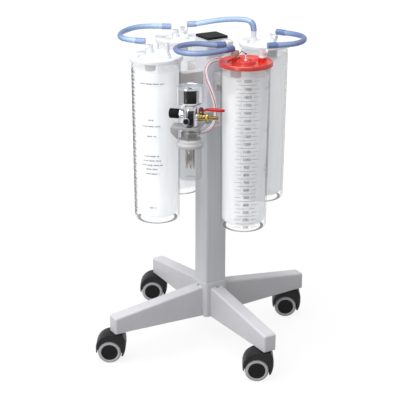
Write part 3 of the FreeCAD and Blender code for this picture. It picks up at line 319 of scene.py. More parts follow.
def moulded(name, colour, darker, roughness, grain=0.15, scale=30, **sockets):
    """Injection moulded plastic with a slight flow of shade and a fine grain."""
    finish = Finish(name, colour, **sockets)
    shades(finish, scale, darker, colour)
    finish.varied("Roughness", finish.noise(90) * 0.14 + (roughness - 0.07))
    finish.raised(finish.noise(1400, 1.0), grain, 0.06)
    return finish.material


def metal(name, colour, darker, roughness, stretch=(60, 60, 60)):
    """Turned or plated metal with slight smears in its polish."""
    finish = Finish(name, colour, metallic=1.0)
    smears = finish.noise(1, 3.0, finish.stretched(*stretch))
    finish.coloured(finish.ramp(smears, (0.3, darker), (0.7, colour)))
    finish.varied("Roughness", smears * 0.12 + (roughness - 0.05))
    finish.raised(finish.noise(700, 2.0), 0.06, 0.05)
    return finish.material


def clear(name, tint, thin, edge, ripple, foot=0.0):
    """Clear moulded plastic: nearly nothing face on; where the wall is seen on edge, and round the foot, it turns
    dark, a painted shade standing in for the wall's dark refraction lines.
    """
    finish = Finish(name, tint, roughness=0.04, ior=1.49)
    # Steepness, raised below the foot height, so that the foot gets a painted dark ring.
    steep = finish.facing() + (finish.split(finish.place())[2] < foot * MM) * 0.45
    finish.varied("Alpha", finish.eased(steep, 0.68, 0.95, thin, edge))
    # Painted shade: the colour turns near black where the plastic is seen on edge.
    finish.coloured(finish.ramp(steep, (0.5, tint), (0.85, (0.10, 0.10, 0.11))))
    finish.raised(finish.noise(1, 2.0, finish.stretched(25, 25, 6)), ripple, 0.4)
    return finish.material


def film(name, glow, cover):
    """Frosted bag film with soft lengthwise creases and a clearer collar at its top, which lets light through.
    Its emission is a painted glow standing in for light coming through the film, and its colour is darker along
    the creases as painted crease shade.
    """
    finish = Finish(name, (0.93, 0.94, 0.95), roughness=0.5, ior=1.3)
    # Painted glow: the film emits light though it is no lamp.
    finish.shader.inputs["Emission Color"].default_value = (0.95, 0.96, 1.0, 1)
    finish.shader.inputs["Emission Strength"].default_value = glow
    creases = finish.noise(1, 3.0, finish.stretched(45, 45, 7))
    height = finish.split(finish.place())[2]
    collar = finish.eased(height, (CLEAR_FROM - 8) * MM, CLEAR_FROM * MM, 1.0, 0.4)
    finish.varied("Alpha", (creases * 0.14 + cover) * collar)
    # Colour darker along the creases: painted crease shade.
    finish.coloured(finish.ramp(creases, (0.3, (0.88, 0.90, 0.92)), (0.6, (0.97, 0.975, 0.98))))
    finish.raised(creases, 0.4, 1.0)
    return finish.material


def glossy_tube(name, colour, middle, darker, **sockets):
    """Translucent hose wall, with painted shade darker at its edges and a painted lighter centre, and a slight
    change of tint along it.
    """
    finish = Finish(name, colour, roughness=0.16, **sockets)
    rim = finish.facing() + finish.noise(22, 3.0) * 0.2
    # Painted shade at the edges and a painted lighter centre, from how steeply the wall is seen.
    finish.coloured(finish.ramp(rim, (0.1, colour), (0.45, middle), (0.85, darker)))
    finish.raised(finish.noise(300, 1.0), 0.05, 0.05)
    return finish.material


FINISHES = {
    "base_white": cast_paint(),
    "post_grey": post_paint(),
    "sleeve_white": moulded("sleeve_lilac_white", (0.80, 0.80, 0.86), (0.75, 0.75, 0.82), 0.35),
    "bracket_grey": moulded("bracket_zinc_grey", (0.42, 0.42, 0.43), (0.34, 0.34, 0.35), 0.35),
    "black_plastic": moulded("black_plastic", (0.008, 0.008, 0.009), (0.005, 0.005, 0.006), 0.50, 0.2,
                             specular_ior_level=0.16),
    "hood_black": moulded("hood_black_plastic", (0.014, 0.014, 0.015), (0.009, 0.009, 0.010), 0.45, 0.4,
                          specular_ior_level=0.25),
    "needle_black": moulded("dial_black_ink", (0.015, 0.015, 0.016), (0.010, 0.010, 0.011), 0.4),
    "scale_ink": moulded("scale_grey_ink", (0.20, 0.20, 0.21), (0.15, 0.15, 0.16), 0.5),
    # Darker copy of the scale ink: real print, darkened as painted shade for the dark line along the left
    # canister's edge.
    "scale_ink_edge_shade": moulded("scale_ink_painted_edge_shade", (0.05, 0.05, 0.055), (0.035, 0.035, 0.04), 0.5),
    "row_ink": moulded("print_grey_ink", (0.20, 0.20, 0.21), (0.14, 0.14, 0.15), 0.5),
    "hanger_grey": moulded("hanger_grey_plastic", (0.60, 0.58, 0.57), (0.54, 0.52, 0.51), 0.42),
    "lid_red": moulded("lid_red_plastic", (0.70, 0.034, 0.018), (0.60, 0.025, 0.014), 0.22,
                       subsurface_weight=0.05, specular_ior_level=0.85),
    # The white collar is given mid grey: painted shade, darker than the other white plastics.
    "collar_white": moulded("collar_white_plastic_painted_shade", (0.52, 0.52, 0.53), (0.47, 0.47, 0.48), 0.35),
    "lid_white": moulded("lid_white_plastic", (0.87, 0.88, 0.90), (0.82, 0.83, 0.86), 0.32,
                         subsurface_weight=0.05),
    "fitting_white": moulded("fitting_white_plastic", (0.80, 0.81, 0.84), (0.74, 0.76, 0.79), 0.28),
    # Beige for the front vacuum elbow; the pink in it is painted red reflection from the red lid.
    "fitting_beige": moulded("fitting_beige_and_painted_red_glow", (0.60, 0.42, 0.35), (0.50, 0.34, 0.28), 0.28),
    # Mauve for the front filter: painted red light from the lid above, not the filter's own colour.
    "filter_mauve": moulded("filter_mauve_painted_red_lid_light", (0.30, 0.06, 0.10), (0.24, 0.05, 0.08), 0.4),
    "filter_grey": moulded("filter_grey_plastic", (0.36, 0.37, 0.36), (0.30, 0.31, 0.30), 0.4),
    "lever_red": moulded("lever_red_vinyl", (0.62, 0.015, 0.012), (0.52, 0.012, 0.01), 0.22),
    "screw_steel": metal("screw_steel", (0.62, 0.62, 0.63), (0.50, 0.50, 0.52), 0.28),
    "cage_steel": metal("cage_steel", (0.60, 0.58, 0.54), (0.46, 0.44, 0.41), 0.24),
    "chrome": metal("regulator_chrome", (0.86, 0.87, 0.89), (0.80, 0.81, 0.84), 0.10),
    "brass": metal("valve_brass", (0.46, 0.33, 0.12), (0.33, 0.23, 0.08), 0.22),
    "dark_nut": metal("lever_nut_dark", (0.14, 0.13, 0.13), (0.10, 0.09, 0.09), 0.35),
    "nut_steel": metal("union_nut_steel", (0.55, 0.55, 0.55), (0.42, 0.42, 0.42), 0.30),
    "clear_plastic": clear("canister_clear_plastic", (0.80, 0.82, 0.86), 0.03, 0.80, 0.08, CANISTER_BOTTOM + 0.9),
    "clear_jar": clear("jar_clear_plastic", (0.85, 0.87, 0.90), 0.03, 0.50, 0.05),
    "clear_lens": clear("gauge_clear_lens", (0.70, 0.72, 0.74), 0.06, 0.5, 0.0),
    "liner_film": film("liner_frosted_film", 0.13, 0.36),
    # Brighter copy of the liner film, with more painted glow and cover, for liners that stand in more shade.
    "liner_film_bright_glow": film("liner_film_painted_bright_glow", 0.24, 0.46),
    "hose_blue": glossy_tube("hose_blue_vinyl", (0.34, 0.45, 0.68), (0.20, 0.29, 0.53), (0.10, 0.15, 0.36)),
    "hose_sky": glossy_tube("hose_sky_vinyl", (0.52, 0.68, 0.88), (0.34, 0.50, 0.78), (0.13, 0.22, 0.46)),
    "cuff_blue": glossy_tube("cuff_blue_vinyl", (0.16, 0.25, 0.48), (0.11, 0.18, 0.40), (0.07, 0.11, 0.30)),
    "tube_clear": glossy_tube("tube_clear_vinyl", (0.90, 0.90, 0.92), (0.80, 0.80, 0.84), (0.50, 0.50, 0.58)),
    "stripe_red": moulded("stripe_red_vinyl", (0.70, 0.05, 0.05), (0.62, 0.04, 0.04), 0.3),
    "stripe_blue": moulded("stripe_blue_vinyl", (0.22, 0.26, 0.48), (0.18, 0.22, 0.42), 0.3),
    # The white dial is given a darker bluish grey: painted reflection of the lens over it.
    "dial_white": moulded("dial_face_painted_lens_reflection", (0.70, 0.72, 0.79), (0.66, 0.68, 0.76), 0.35),
    "wheel_tyre": moulded("wheel_grey_tyre", (0.44, 0.44, 0.46), (0.39, 0.39, 0.41), 0.50),
}


def finish_nodes():
    """Gives each CAD node the material of its slot."""
    finish_of = {"wheel_plastic": "wheel_tyre"}
    for row in frame["record"]["subparts"]:
        slot = row["material_slot"]
        for spot in frame["nodes"][row["node"]].material_slots:
            spot.material = FINISHES[finish_of.get(slot, slot)]


# Shaping


def fresh(*chosen):
    """Deselects everything, then selects and activates the given pieces."""
    if bpy.context.object and bpy.context.object.mode != "OBJECT":
        bpy.ops.object.mode_set(mode="OBJECT")
    bpy.ops.object.select_all(action="DESELECT")
    for piece in chosen:
        piece.select_set(True)
        bpy.context.view_layer.objects.active = piece


def lathed(name, outline, steps=64, base=0.0):
    """Piece of revolution about Z: a ring extruded along an outline of radii and heights above a base."""
    fresh()
    radius, height = max(outline[0][0], 0.005), base + outline[0][1]
    bpy.ops.mesh.primitive_circle_add(vertices=steps, radius=radius * MM, location=(0, 0, height * MM))
    piece = bpy.context.object
    piece.name = name
    bpy.ops.object.transform_apply(location=True, rotation=False, scale=False)
    bpy.ops.object.mode_set(mode="EDIT")
    for next_radius, rise in outline[1:]:
        next_height = base + rise
        share = max(next_radius, 0.005) / radius
        bpy.ops.mesh.extrude_region_move(TRANSFORM_OT_translate={"value": (0, 0, (next_height - height) * MM)})
        bpy.ops.transform.resize(value=(share, share, 1), center_override=(0, 0, next_height * MM))
        radius, height = radius * share, next_height
    closed_up()
    return piece


def closed_up():
    """Merges a new piece's seams and poles, turns its faces outwards and leaves edit mode."""
    bpy.ops.mesh.select_all(action="SELECT")
    bpy.ops.mesh.remove_doubles(threshold=0.02 * MM)
    bpy.ops.mesh.normals_make_consistent(inside=False)
    bpy.ops.object.mode_set(mode="OBJECT")


def bar(name, low, high, x=0.0, y=0.0):
    """Upright rectangular piece from its low end to its high end, each a height, a width and a depth."""
    fresh()
    height, width, depth = low
    bpy.ops.mesh.primitive_plane_add(size=MM, location=(x * MM, y * MM, height * MM))
    piece = bpy.context.object
    piece.name = name
    piece.scale = (width, depth, 1)
    bpy.ops.object.transform_apply(location=True, rotation=True, scale=True)
    bpy.ops.object.mode_set(mode="EDIT")
    top, top_width, top_depth = high
    bpy.ops.mesh.extrude_region_move(TRANSFORM_OT_translate={"value": (0, 0, (top - height) * MM)})
    bpy.ops.transform.resize(value=(top_width / width, top_depth / depth, 1), center_override=(x * MM, y * MM, 0))
    closed_up()
    return piece


def shifted(piece, x=0.0, y=0.0, z=0.0, turn=0.0, tilt=0.0, roll=0.0):
    """Turns a piece about the origin (roll about X, tilt about Y, turn about Z), then moves it."""
    fresh(piece)
    piece.rotation_euler = [math.radians(a) for a in (roll, tilt, turn)]
    piece.location = Vector((x, y, z)) * MM
    bpy.ops.object.transform_apply(location=True, rotation=True, scale=True)
    return piece


def copied(piece, name):
    """Copy with its own mesh."""
    twin = piece.copy()
    twin.data = piece.data.copy()
    twin.name = name
    bpy.context.scene.collection.objects.link(twin)
    return twin


def joined(name, pieces):
    """Several shapes as one piece."""
    fresh(*pieces)
    if len(pieces) > 1:
        bpy.ops.object.join()
    piece = bpy.context.object
    piece.name = name
    return piece


def ringed(shape, count, start=0.0):
    """The shape and its copies set evenly round Z, as one piece."""
    twins = [shifted(copied(shape, shape.name), turn=start + 360 * k / count) for k in range(count)]
    bpy.data.objects.remove(shape)
    return joined(twins[0].name, twins)


def modified(piece, kind, **settings):
    """Adds a modifier and applies it."""
    fresh(piece)
    made = piece.modifiers.new(kind.lower(), kind)
    for setting, value in settings.items():
        setattr(made, setting, value)
    bpy.ops.object.modifier_apply(modifier=made.name)
    return piece


def softened(piece, width, segments=3, angle=30):
    """Rounds a piece's sharp edges."""
    return modified(piece, "BEVEL", width=width * MM, segments=segments, limit_method="ANGLE",
                    angle_limit=math.radians(angle))


def rounded_copy(node, name, width, segments=2):
    """Copy of a CAD node with its flat facets joined and its edges rounded."""
    piece = bpy.data.objects.new(name, frame["nodes"][node].data.copy())
    bpy.context.scene.collection.objects.link(piece)
    fresh(piece)
    bpy.ops.mesh.customdata_custom_splitnormals_clear()
    bpy.ops.object.mode_set(mode="EDIT")
    bpy.ops.mesh.select_all(action="SELECT")
    bpy.ops.mesh.remove_doubles(threshold=0.001 * MM)
    bpy.ops.mesh.dissolve_limited(angle_limit=math.radians(0.4))
    bpy.ops.object.mode_set(mode="OBJECT")
    return softened(piece, width, segments)


def dressed(piece, slot, body, *nodes, smooth=35, place=None):
    """Puts a piece at its x, y and turn, gives it its finish and its body, and hides the CAD nodes it stands for.
    """
    if place:
        shifted(piece, x=place[0] + AXIS.x / MM, y=place[1] + AXIS.y / MM, turn=place[2])
    fresh(piece)
    bpy.ops.object.shade_smooth_by_angle(angle=math.radians(smooth))
    piece.data.materials.clear()
    piece.data.materials.append(FINISHES[slot])
    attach(piece, body)
    if nodes:
        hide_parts(*nodes)
    return piece


# Canisters and lids


def wall_radius(height):
    """Outer radius of the tapering canister wall at a height."""
    share = (height - CANISTER_BOTTOM) / (CANISTER_TOP - CANISTER_BOTTOM)
    return CANISTER_FOOT_RADIUS + share * (CANISTER_RADIUS - CANISTER_FOOT_RADIUS)


def arc_points(centre_radius, centre_height, radius, start, end, count=6):
    """Outline points along an arc, from one angle to another, 0 being outwards and 90 upwards."""
    angles = [math.radians(start + (end - start) * k / count) for k in range(count + 1)]
    return [(centre_radius + radius * math.cos(a), centre_height + radius * math.sin(a)) for a in angles]


def canister_place(side):
    """Where a canister's axis stands, and how far its side is turned from the front."""
    turn = math.radians(SIDES[side])
    return CANISTER_OUT * math.sin(turn), -CANISTER_OUT * math.cos(turn), SIDES[side]


def canister_shell():
    """Clear tapering cup with a rounded foot ring, a rim bead and the T-shaped lug at its back."""
    corner, wall, bottom, top = CANISTER_CORNER, CANISTER_WALL, CANISTER_BOTTOM, CANISTER_TOP + RIM_RISE
    foot, mouth = CANISTER_FOOT_RADIUS, CANISTER_RADIUS
    outline = [(0, bottom + 1.2), (foot - corner - 3, bottom + 1.2), (foot - corner - 1, bottom)]
    outline += arc_points(foot - corner, bottom + corner, corner, -90, 0)
    outline += [(foot + (mouth - foot) * k / 6, bottom + corner + (top - 6 - bottom - corner) * k / 6)
                for k in range(1, 7)]
    outline += [(mouth + RIM_OUT, top - RIM_HIGH), (mouth + RIM_OUT, top - 0.8), (mouth + RIM_OUT - 0.8, top),
                (mouth - wall, top), (foot - wall, bottom + corner)]
    outline += arc_points(foot - corner, bottom + corner, corner - wall, 0, -90)[1:]
    outline += [(0, bottom + wall + 0.6)]
    shell = lathed("canister_shell", outline, 96)
    wall_at = wall_radius(LUG_BOTTOM)
    lug_top = LUG_BOTTOM + LUG_HIGH
    neck = bar("lug_neck", (LUG_BOTTOM, LUG_NECK, LUG_NECK_DEEP + 2), (lug_top, LUG_NECK, LUG_NECK_DEEP + 2),
               y=wall_at + LUG_NECK_DEEP / 2)
    head = bar("lug_head", (LUG_BOTTOM, LUG_HEAD, LUG_HEAD_DEEP), (lug_top, LUG_HEAD, LUG_HEAD_DEEP),
               y=wall_at + LUG_NECK_DEEP + LUG_HEAD_DEEP / 2)
    return joined("canister_shell", [softened(head, 0.8), softened(neck, 0.4), shell])


def liner_bag():
    """Frosted film bag inside the canister, slack in places."""
    gap = CANISTER_WALL + 0.9
    bottom = CANISTER_BOTTOM + LINER_LIFT
    top = CANISTER_TOP - 0.5
    foot = wall_radius(bottom) - gap
    outline = [(0, bottom + 2.5), (foot * 0.6, bottom + 1.5), (foot - 10, bottom)]
    outline += arc_points(foot - 9, bottom + 9, 9, -80, 0, 5)
    rows = 30
    outline += [(foot + (wall_radius(top) - gap - foot) * k / rows, bottom + 9 + (top - bottom - 9) * k / rows)
                for k in range(1, rows + 1)]
    bag = lathed("liner_bag", outline, 120)
    for corner in bag.data.vertices:
        x, y, z = corner.co
        turn = math.atan2(y, x)
        share = min(max((z / MM - bottom - 9) / 40, 0), 1) * min(max((top - z / MM) / 30, 0), 1)
        slack = 0.5 + 0.5 * math.sin(7 * turn + 2.2 * math.sin(z * 11)) * math.sin(3 * turn + 1.3 + z * 9)
        pull = 1 - 0.012 * share * slack
        corner.co.x, corner.co.y = x * pull, y * pull
    return modified(bag, "SOLIDIFY", thickness=0.5 * MM, offset=-1)


def lid_shell(side):
    """Lid with a stepped rim flange, a deep channel, the ribbed crown and the ports' bosses."""
    seat = CANISTER_TOP
    inner, outer, flange = CANISTER_RADIUS + RIM_OUT + 0.1, LID_RADIUS, RIM_RISE
    under = seat + 2.5
    outline = [(0, 8), (14.5, 7.5), (17.5, 2.5), (42.5, 2.5), (44.5, flange), (inner, flange),
               (inner, flange - 0.6), (53.7, flange - 0.6), (outer, flange), (outer, flange + 4.0),
               (54.2, flange + 5.6), (53.6, 8.8), (52.6, 9.5), (50.6, 9.4), (49.8, 8.8), (48.6, 8.6),
               (38.4, 8.2), (37.0, 7.8), (36.0, 6.8), (35.4, 4.6), (34.4, 4.0), (20.6, 4.0), (19.6, 4.3),
               (18.9, 5.4), (18.4, 9.4), (17.6, 10.4), (16.2, 10.8), (14.9, 10.5), (14.2, 9.9), (7.6, 10.3),
               (6.8, 11.2), (5.2, 11.4), (4.6, 10.9), (0, 10.9)]
    pieces = [lathed("lid_plate", outline, 96, seat)]
    rib = bar("lid_rib", (seat + 9.5, 1.4, 7), (seat + 11.2, 1.0, 6.6), y=11)
    pieces.append(ringed(softened(rib, 0.3, 2), LID_RIBS, 22.5))
    for ports in (VACUUM_PORT, PATIENT_PORT):
        boss = lathed("port_boss", [(4.0, under + 1), (4.0, PORT_TOP), (7.4, PORT_TOP), (8.0, PORT_TOP - 0.6),
                                    (8.5, under + 1), (4.0, under + 1)], 40)
        pieces.append(shifted(boss, *ports[side]))
    return joined("lid_shell", pieces)


def filter_cage():
    """Ribbed cup under a lid's vacuum port, which shows through the liner."""
    top, floor = CANISTER_TOP + 3, CANISTER_TOP - FILTER_DEEP
    cup = lathed("filter_cup", [(10, top), (10, floor), (9.4, floor - 0.5), (0, floor - 0.8), (0, floor + 1),
                                (8.2, floor + 1), (8.2, top), (10, top)], 40)
    web = bar("filter_web", (floor + 1.5, 1.6, 1.6), (CANISTER_TOP - 1, 1.6, 1.6), y=10.2)
    return joined("filter_cage", [cup, ringed(softened(web, 0.4, 2), 12)])


def canisters():
    """Canister, liner, lid and filter on each side of the post."""
    shell, bag, cage = canister_shell(), liner_bag(), filter_cage()
    for side in SIDES:
        at = canister_place(side)
        dressed(copied(shell, "canister_cup_" + side), "clear_plastic", "trolley", "canister_" + side, place=at)
        # The left and back liners take the brighter copy, with more painted glow.
        bag_film = "liner_film_bright_glow" if side in ("left", "back") else "liner_film"
        dressed(copied(bag, "liner_bag_" + side), bag_film, "trolley", "liner_" + side, place=at)
        # The front filter takes the mauve finish: painted red light from its red lid.
        lid_tint, filter_tint_and_lid_light = ("lid_red", "filter_mauve") if side == "front" else ("lid_white", "filter_grey")
        lid = dressed(lid_shell(side), lid_tint, "trolley", "lid_" + side, place=(at[0], at[1], 0))
        lid.name = "canister_lid_" + side
        filter_at = (*port_of(side, VACUUM_PORT), 0)
        dressed(copied(cage, "filter_cage_" + side), filter_tint_and_lid_light, "trolley", place=filter_at)
    for spare in (shell, bag, cage):
        bpy.data.objects.remove(spare)


def wrapped(piece, angle):
    """Bends a flat print, drawn upright in X and Z, round the canister wall at an angle from its front."""
    for point in piece.data.vertices:
        x, y, z = point.co
        radius = wall_radius(z / MM) * MM + PRINT_LIFT * MM - y
        turn = math.radians(angle) + x / radius
        point.co = (radius * math.sin(turn), -radius * math.cos(turn), z)
    return piece


def print_line(angle, width, height, thick):
    """Thin printed line, as long as the angle that it covers."""
    fresh()
    bpy.ops.mesh.primitive_grid_add(x_subdivisions=max(3, int(width / 3)), y_subdivisions=1, size=1)
    line = bpy.context.object
    line.scale = (math.radians(width) * CANISTER_RADIUS * MM, thick * MM, 1)
    line.rotation_euler = (math.radians(90), 0, 0)
    line.location = (0, 0, height * MM)
    bpy.ops.object.transform_apply(location=True, rotation=True, scale=True)
    return wrapped(line, angle)


def printed(words, size, swell=0.0):
    """Flat printed words, centred on the origin."""
    fresh()
    bpy.ops.object.text_add()
    text = bpy.context.object
    text.data.body = words
    text.data.align_x, text.data.align_y = "CENTER", "CENTER"
    text.data.size, text.data.offset = size * MM, swell * MM
    text.data.resolution_u = 2
    bpy.ops.object.convert(target="MESH")
    return text


def print_number(words, angle, height):
    """Printed number, centred on an angle."""
    return wrapped(shifted(printed(words, NUMBER_SIZE, NUMBER_SWELL), z=height, roll=90), angle)


def canister_prints():
    """Scale in millilitres on each canister, and short bars where the rows of print beside it are."""
    marks, dashes = [], []
    for step in range(1, SCALE_MARKS + 1):
        height = SCALE_FOOT + SCALE_STEP * step
        marks.append(print_number(str(step * 100), SCALE_ANGLE, height))
        for way in (-1, 1):
            marks.append(print_line(SCALE_ANGLE + way * LINE_AWAY, LINE_WIDE, height, LINE_THICK))
        if step > 1:
            marks.append(print_line(SCALE_ANGLE, MIDDLE_WIDE, height - SCALE_STEP / 2, LINE_THICK))
    for height, first, last in PRINT_ROWS:
        start = first
        for k in range(40):
            width = 1.5 + 1.3 * abs(math.sin(height + 2.1 * k))
            if start + width > last:
                break
            if k % 5:
                dashes.append(print_line(start + width / 2, width, height, 2.2 + 0.9 * math.sin(3.7 * k)))
            start += width + 0.9
    scale, rows = joined("scale_print", marks), joined("print_rows", dashes)
    for side in SIDES:
        at = canister_place(side)
        marking = copied(scale, "scale_print_" + side)
        # The left scale is thickened and inked darker: real print with painted shade for the dark line along that
        # canister's edge.
        if side == "left":
            modified(marking, "SOLIDIFY", thickness=SCALE_DEEP * MM, offset=-1)
        dressed(marking, "scale_ink_edge_shade" if side == "left" else "scale_ink", "trolley", place=at)
        dressed(copied(rows, "print_rows_" + side), "row_ink", "trolley", place=at)
    for spare in (scale, rows):
        bpy.data.objects.remove(spare)


# Fittings on the lids and the post


def elbow_shape(name, port, toward, level):
    """Elbow that stands in a port on its flange, bends over and points level at its hose."""
    fresh()
    bpy.ops.mesh.primitive_circle_add(vertices=32, radius=ELBOW_RADIUS * MM, location=(0, 0, (PORT_TOP + 2) * MM))
    pipe = bpy.context.object
    bpy.ops.object.transform_apply(location=True, rotation=False, scale=False)
    bend = ELBOW_RADIUS + 0.4
    bpy.ops.object.mode_set(mode="EDIT")
    bpy.ops.mesh.extrude_region_move(TRANSFORM_OT_translate={"value": (0, 0, (level - bend - PORT_TOP - 2) * MM)})
    bpy.ops.mesh.spin(steps=8, angle=math.radians(90), center=(bend * MM, 0, (level - bend) * MM),
                      axis=(0, 1, 0))
    bpy.ops.mesh.extrude_region_move(TRANSFORM_OT_translate={"value": ((ELBOW_ARM - bend) * MM, 0, 0)})
    bpy.ops.mesh.edge_face_add()
    closed_up()
    flange = lathed("elbow_flange", [(0, 0), (6.9, 0), (7.2, 0.4), (7.2, 1.8), (6.8, 2.4), (6.0, 3.0), (0, 3.0)],
                    40, PORT_TOP)
    spigot = lathed("elbow_spigot", [(0, -8), (3.6, -8), (3.9, -7), (3.9, 0), (0, 0)], 32, PORT_TOP)
    heading = math.degrees(math.atan2(toward[1] - port[1], toward[0] - port[0]))
    return shifted(joined(name, [flange, spigot, pipe]), port[0], port[1], turn=heading)


def port_of(side, ports):
    """A lid port's place from the post's axis."""
    x, y, _ = canister_place(side)
    return x + ports[side][0], y + ports[side][1]


def lid_fittings():
    """Elbows, the straight connector, the patient's nipple and the post's manifold."""
    ends = {
        "elbow_front_vacuum": ("front", VACUUM_PORT, "hose_front_to_post", 1, ["elbows_front"]),
        "elbow_front_patient": ("front", PATIENT_PORT, "hose_front_to_right", 1, []),
        "elbow_left_vacuum": ("left", VACUUM_PORT, "hose_left_to_back", 1, ["elbow_left"]),
        "elbow_back_patient": ("back", PATIENT_PORT, "hose_left_to_back", -2, ["elbows_back"]),
        "elbow_back_vacuum": ("back", VACUUM_PORT, "hose_back_to_right", 1, []),
        "elbow_right_vacuum": ("right", VACUUM_PORT, "hose_front_to_right", -2, ["elbow_right"]),
    }
    for name, (side, ports, hose, end, nodes) in ends.items():
        level = TALL_LEVEL if name == "elbow_front_patient" else HOSE_LEVEL
        piece = elbow_shape(name, port_of(side, ports), HOSE_ROUTES[hose][end], level)
        # The front vacuum elbow takes the beige finish, whose pink is painted red reflection from its lid.
        tint = "fitting_beige" if name == "elbow_front_vacuum" else "fitting_white"
        dressed(piece, tint, "trolley", *nodes, place=(0, 0, 0))
    x, y = port_of("right", PATIENT_PORT)
    top = STRAIGHT_TOP - PORT_TOP
    fitting = lathed("straight_fitting", [(2.8, -8), (3.9, -8), (3.9, 0), (6.9, 0), (7.2, 0.4), (7.2, 1.8),
                                          (6.0, 3), (6.0, top - 0.5), (5.6, top), (2.8, top), (2.8, -8)],
                     40, PORT_TOP)
    dressed(fitting, "fitting_white", "trolley", "connector_right", place=(x, y, 0))
    x, y = port_of("left", PATIENT_PORT)
    outline = [(2.8, -8), (3.9, -8), (3.9, 0), (5.7, 0), (6.0, 0.4), (6.0, 3.5), (5.5, 4), (4.3, 4)]
    for low in (7, 11, 15, 19):
        outline += [(4.15, low), (4.4, low + 0.3), (4.1, low + 3)]
    outline += [(3.9, 23.4), (3.5, 24), (2.8, 24), (2.8, -8)]
    nipple = lathed("open_nipple", outline, 40, PORT_TOP)
    dressed(nipple, "fitting_white", "trolley", "patient_nipple", place=(x, y, 0))
    dressed(rounded_copy("manifold", "manifold_block", 0.8), "fitting_white", "trolley", "manifold")


def plug_strap():
    """Thin black strap from the front canister's elbow to the button on the lid's peg."""
    x, y, _ = canister_place("front")
    port = port_of("front", VACUUM_PORT)
    route = [(port[0] + 3, port[1] - 6, PORT_TOP + 6), (port[0] + 4, port[1] - 12, PORT_TOP + 13),
             (port[0] + 5, port[1] - 19, PORT_TOP + 12.5), (x, y + 1, PEG_TOP + 1)]
    strap = routed_tube("plug_strap_band", route, 0.7, 4)
    button = lathed("plug_button", [(0, -0.3), (1.9, -0.3), (2.2, 0.3), (2.1, 1.2), (1.2, 1.8), (0, 2)],
                    28, PEG_TOP)
    button = shifted(button, x, y)
    dressed(joined("plug_strap", [button, strap]), "black_plastic", "trolley", place=(0, 0, 0))
    crown = CANISTER_TOP + 10.8
    peg = lathed("strap_peg", [(0, crown), (3.0, crown), (2.6, crown + 0.8), (1.6, crown + 1.6),
                               (1.5, PEG_TOP - 0.6), (1.3, PEG_TOP - 0.2), (0, PEG_TOP)], 28)
    dressed(peg, "fitting_white", "trolley", place=(x, y, 0))


def tube_line(name, route, radius, rounding, kind="NURBS", origin=Vector()):
    """Curve with a round bevel: a smooth line near its points, or one that goes from each to the next."""
    line = bpy.data.curves.new(name, "CURVE")
    line.dimensions = "3D"
    spline = line.splines.new(kind)
    spline.points.add(len(route) - 1)
    for point, place in zip(spline.points, route):
        point.co = (*(origin + Vector(place) * MM), 1)
    if kind == "NURBS":
        spline.order_u = 3
        spline.use_endpoint_u = True
    line.bevel_depth = radius * MM
    line.bevel_resolution = rounding
    line.use_fill_caps = True
    return line


def routed_tube(name, route, radius, sides=8, kind="NURBS"):
    """Round rod along chosen points, as a mesh."""
    carrier = bpy.data.objects.new(name, tube_line(name, route, radius, sides // 2, kind))
    bpy.context.scene.collection.objects.link(carrier)
    fresh(carrier)
    bpy.ops.object.convert(target="MESH")
    return bpy.context.object


# Castors


def castor_parts():
    """Twin wheels with grey tyres and black dished discs, and the hoods with softened rims."""
    near, far = 4.3, 19.3
    tyre = lathed("tyre", [(17.6, near + 0.4), (18.2, near), (21.0, near)]
                  + arc_points(21.0, near + 4, 4, -90, 0, 5) + arc_points(21.0, far - 4, 4, 0, 90, 5)
                  + [(18.6, far), (18.0, far - 0.4), (17.6, far - 1.4), (17.6, near + 0.4)], 72)
    disc = lathed("disc", [(0, near + 0.6), (17.4, near + 0.6), (17.6, near + 1), (17.6, far - 1.2),
                           (17.2, far - 0.4), (16.6, far - 0.1), (16.0, far - 0.4), (15.4, far - 1.1),
                           (14.5, far - 1.5), (8, far - 1.2), (4.6, far - 0.9), (4.2, far - 0.4),
                           (3.4, far - 0.2), (0, far)], 72)
    axle = lathed("axle", [(0, -near - 1), (3, -near - 1), (3, near + 1), (0, near + 1)], 24)
    tyres = joined("tyres", [tyre, shifted(copied(tyre, "tyre_far"), roll=180)])
    discs = joined("discs", [disc, shifted(copied(disc, "disc_far"), roll=180), axle])
    for pair in (tyres, discs):
        shifted(pair, roll=90)
    heading = math.radians(TRAIL_TURN)
    for side in SIDES:
        x, y, _ = canister_place(side)
        x, y = x * CASTOR_OUT / CANISTER_OUT, y * CASTOR_OUT / CANISTER_OUT
        x, y = x + TRAIL * math.cos(heading), y + TRAIL * math.sin(heading)
        body = "wheels_" + side
        for pair, slot, name in ((tyres, "wheel_tyre", "wheel_tyres_"), (discs, "black_plastic", "wheel_discs_")):
            wheel = shifted(copied(pair, name + side), z=WHEEL_RADIUS)
            node = ["castor_wheels_" + side] if pair is tyres else []
            dressed(wheel, slot, body, *node, place=(x, y, TRAIL_TURN))
        hood = rounded_copy("castor_hood_" + side, "hood_" + side, 1.6, 3)
        dressed(hood, "hood_black", "castor_" + side, "castor_hood_" + side, smooth=50)
    for spare in (tyres, discs):
        bpy.data.objects.remove(spare)


# Vacuum regulator


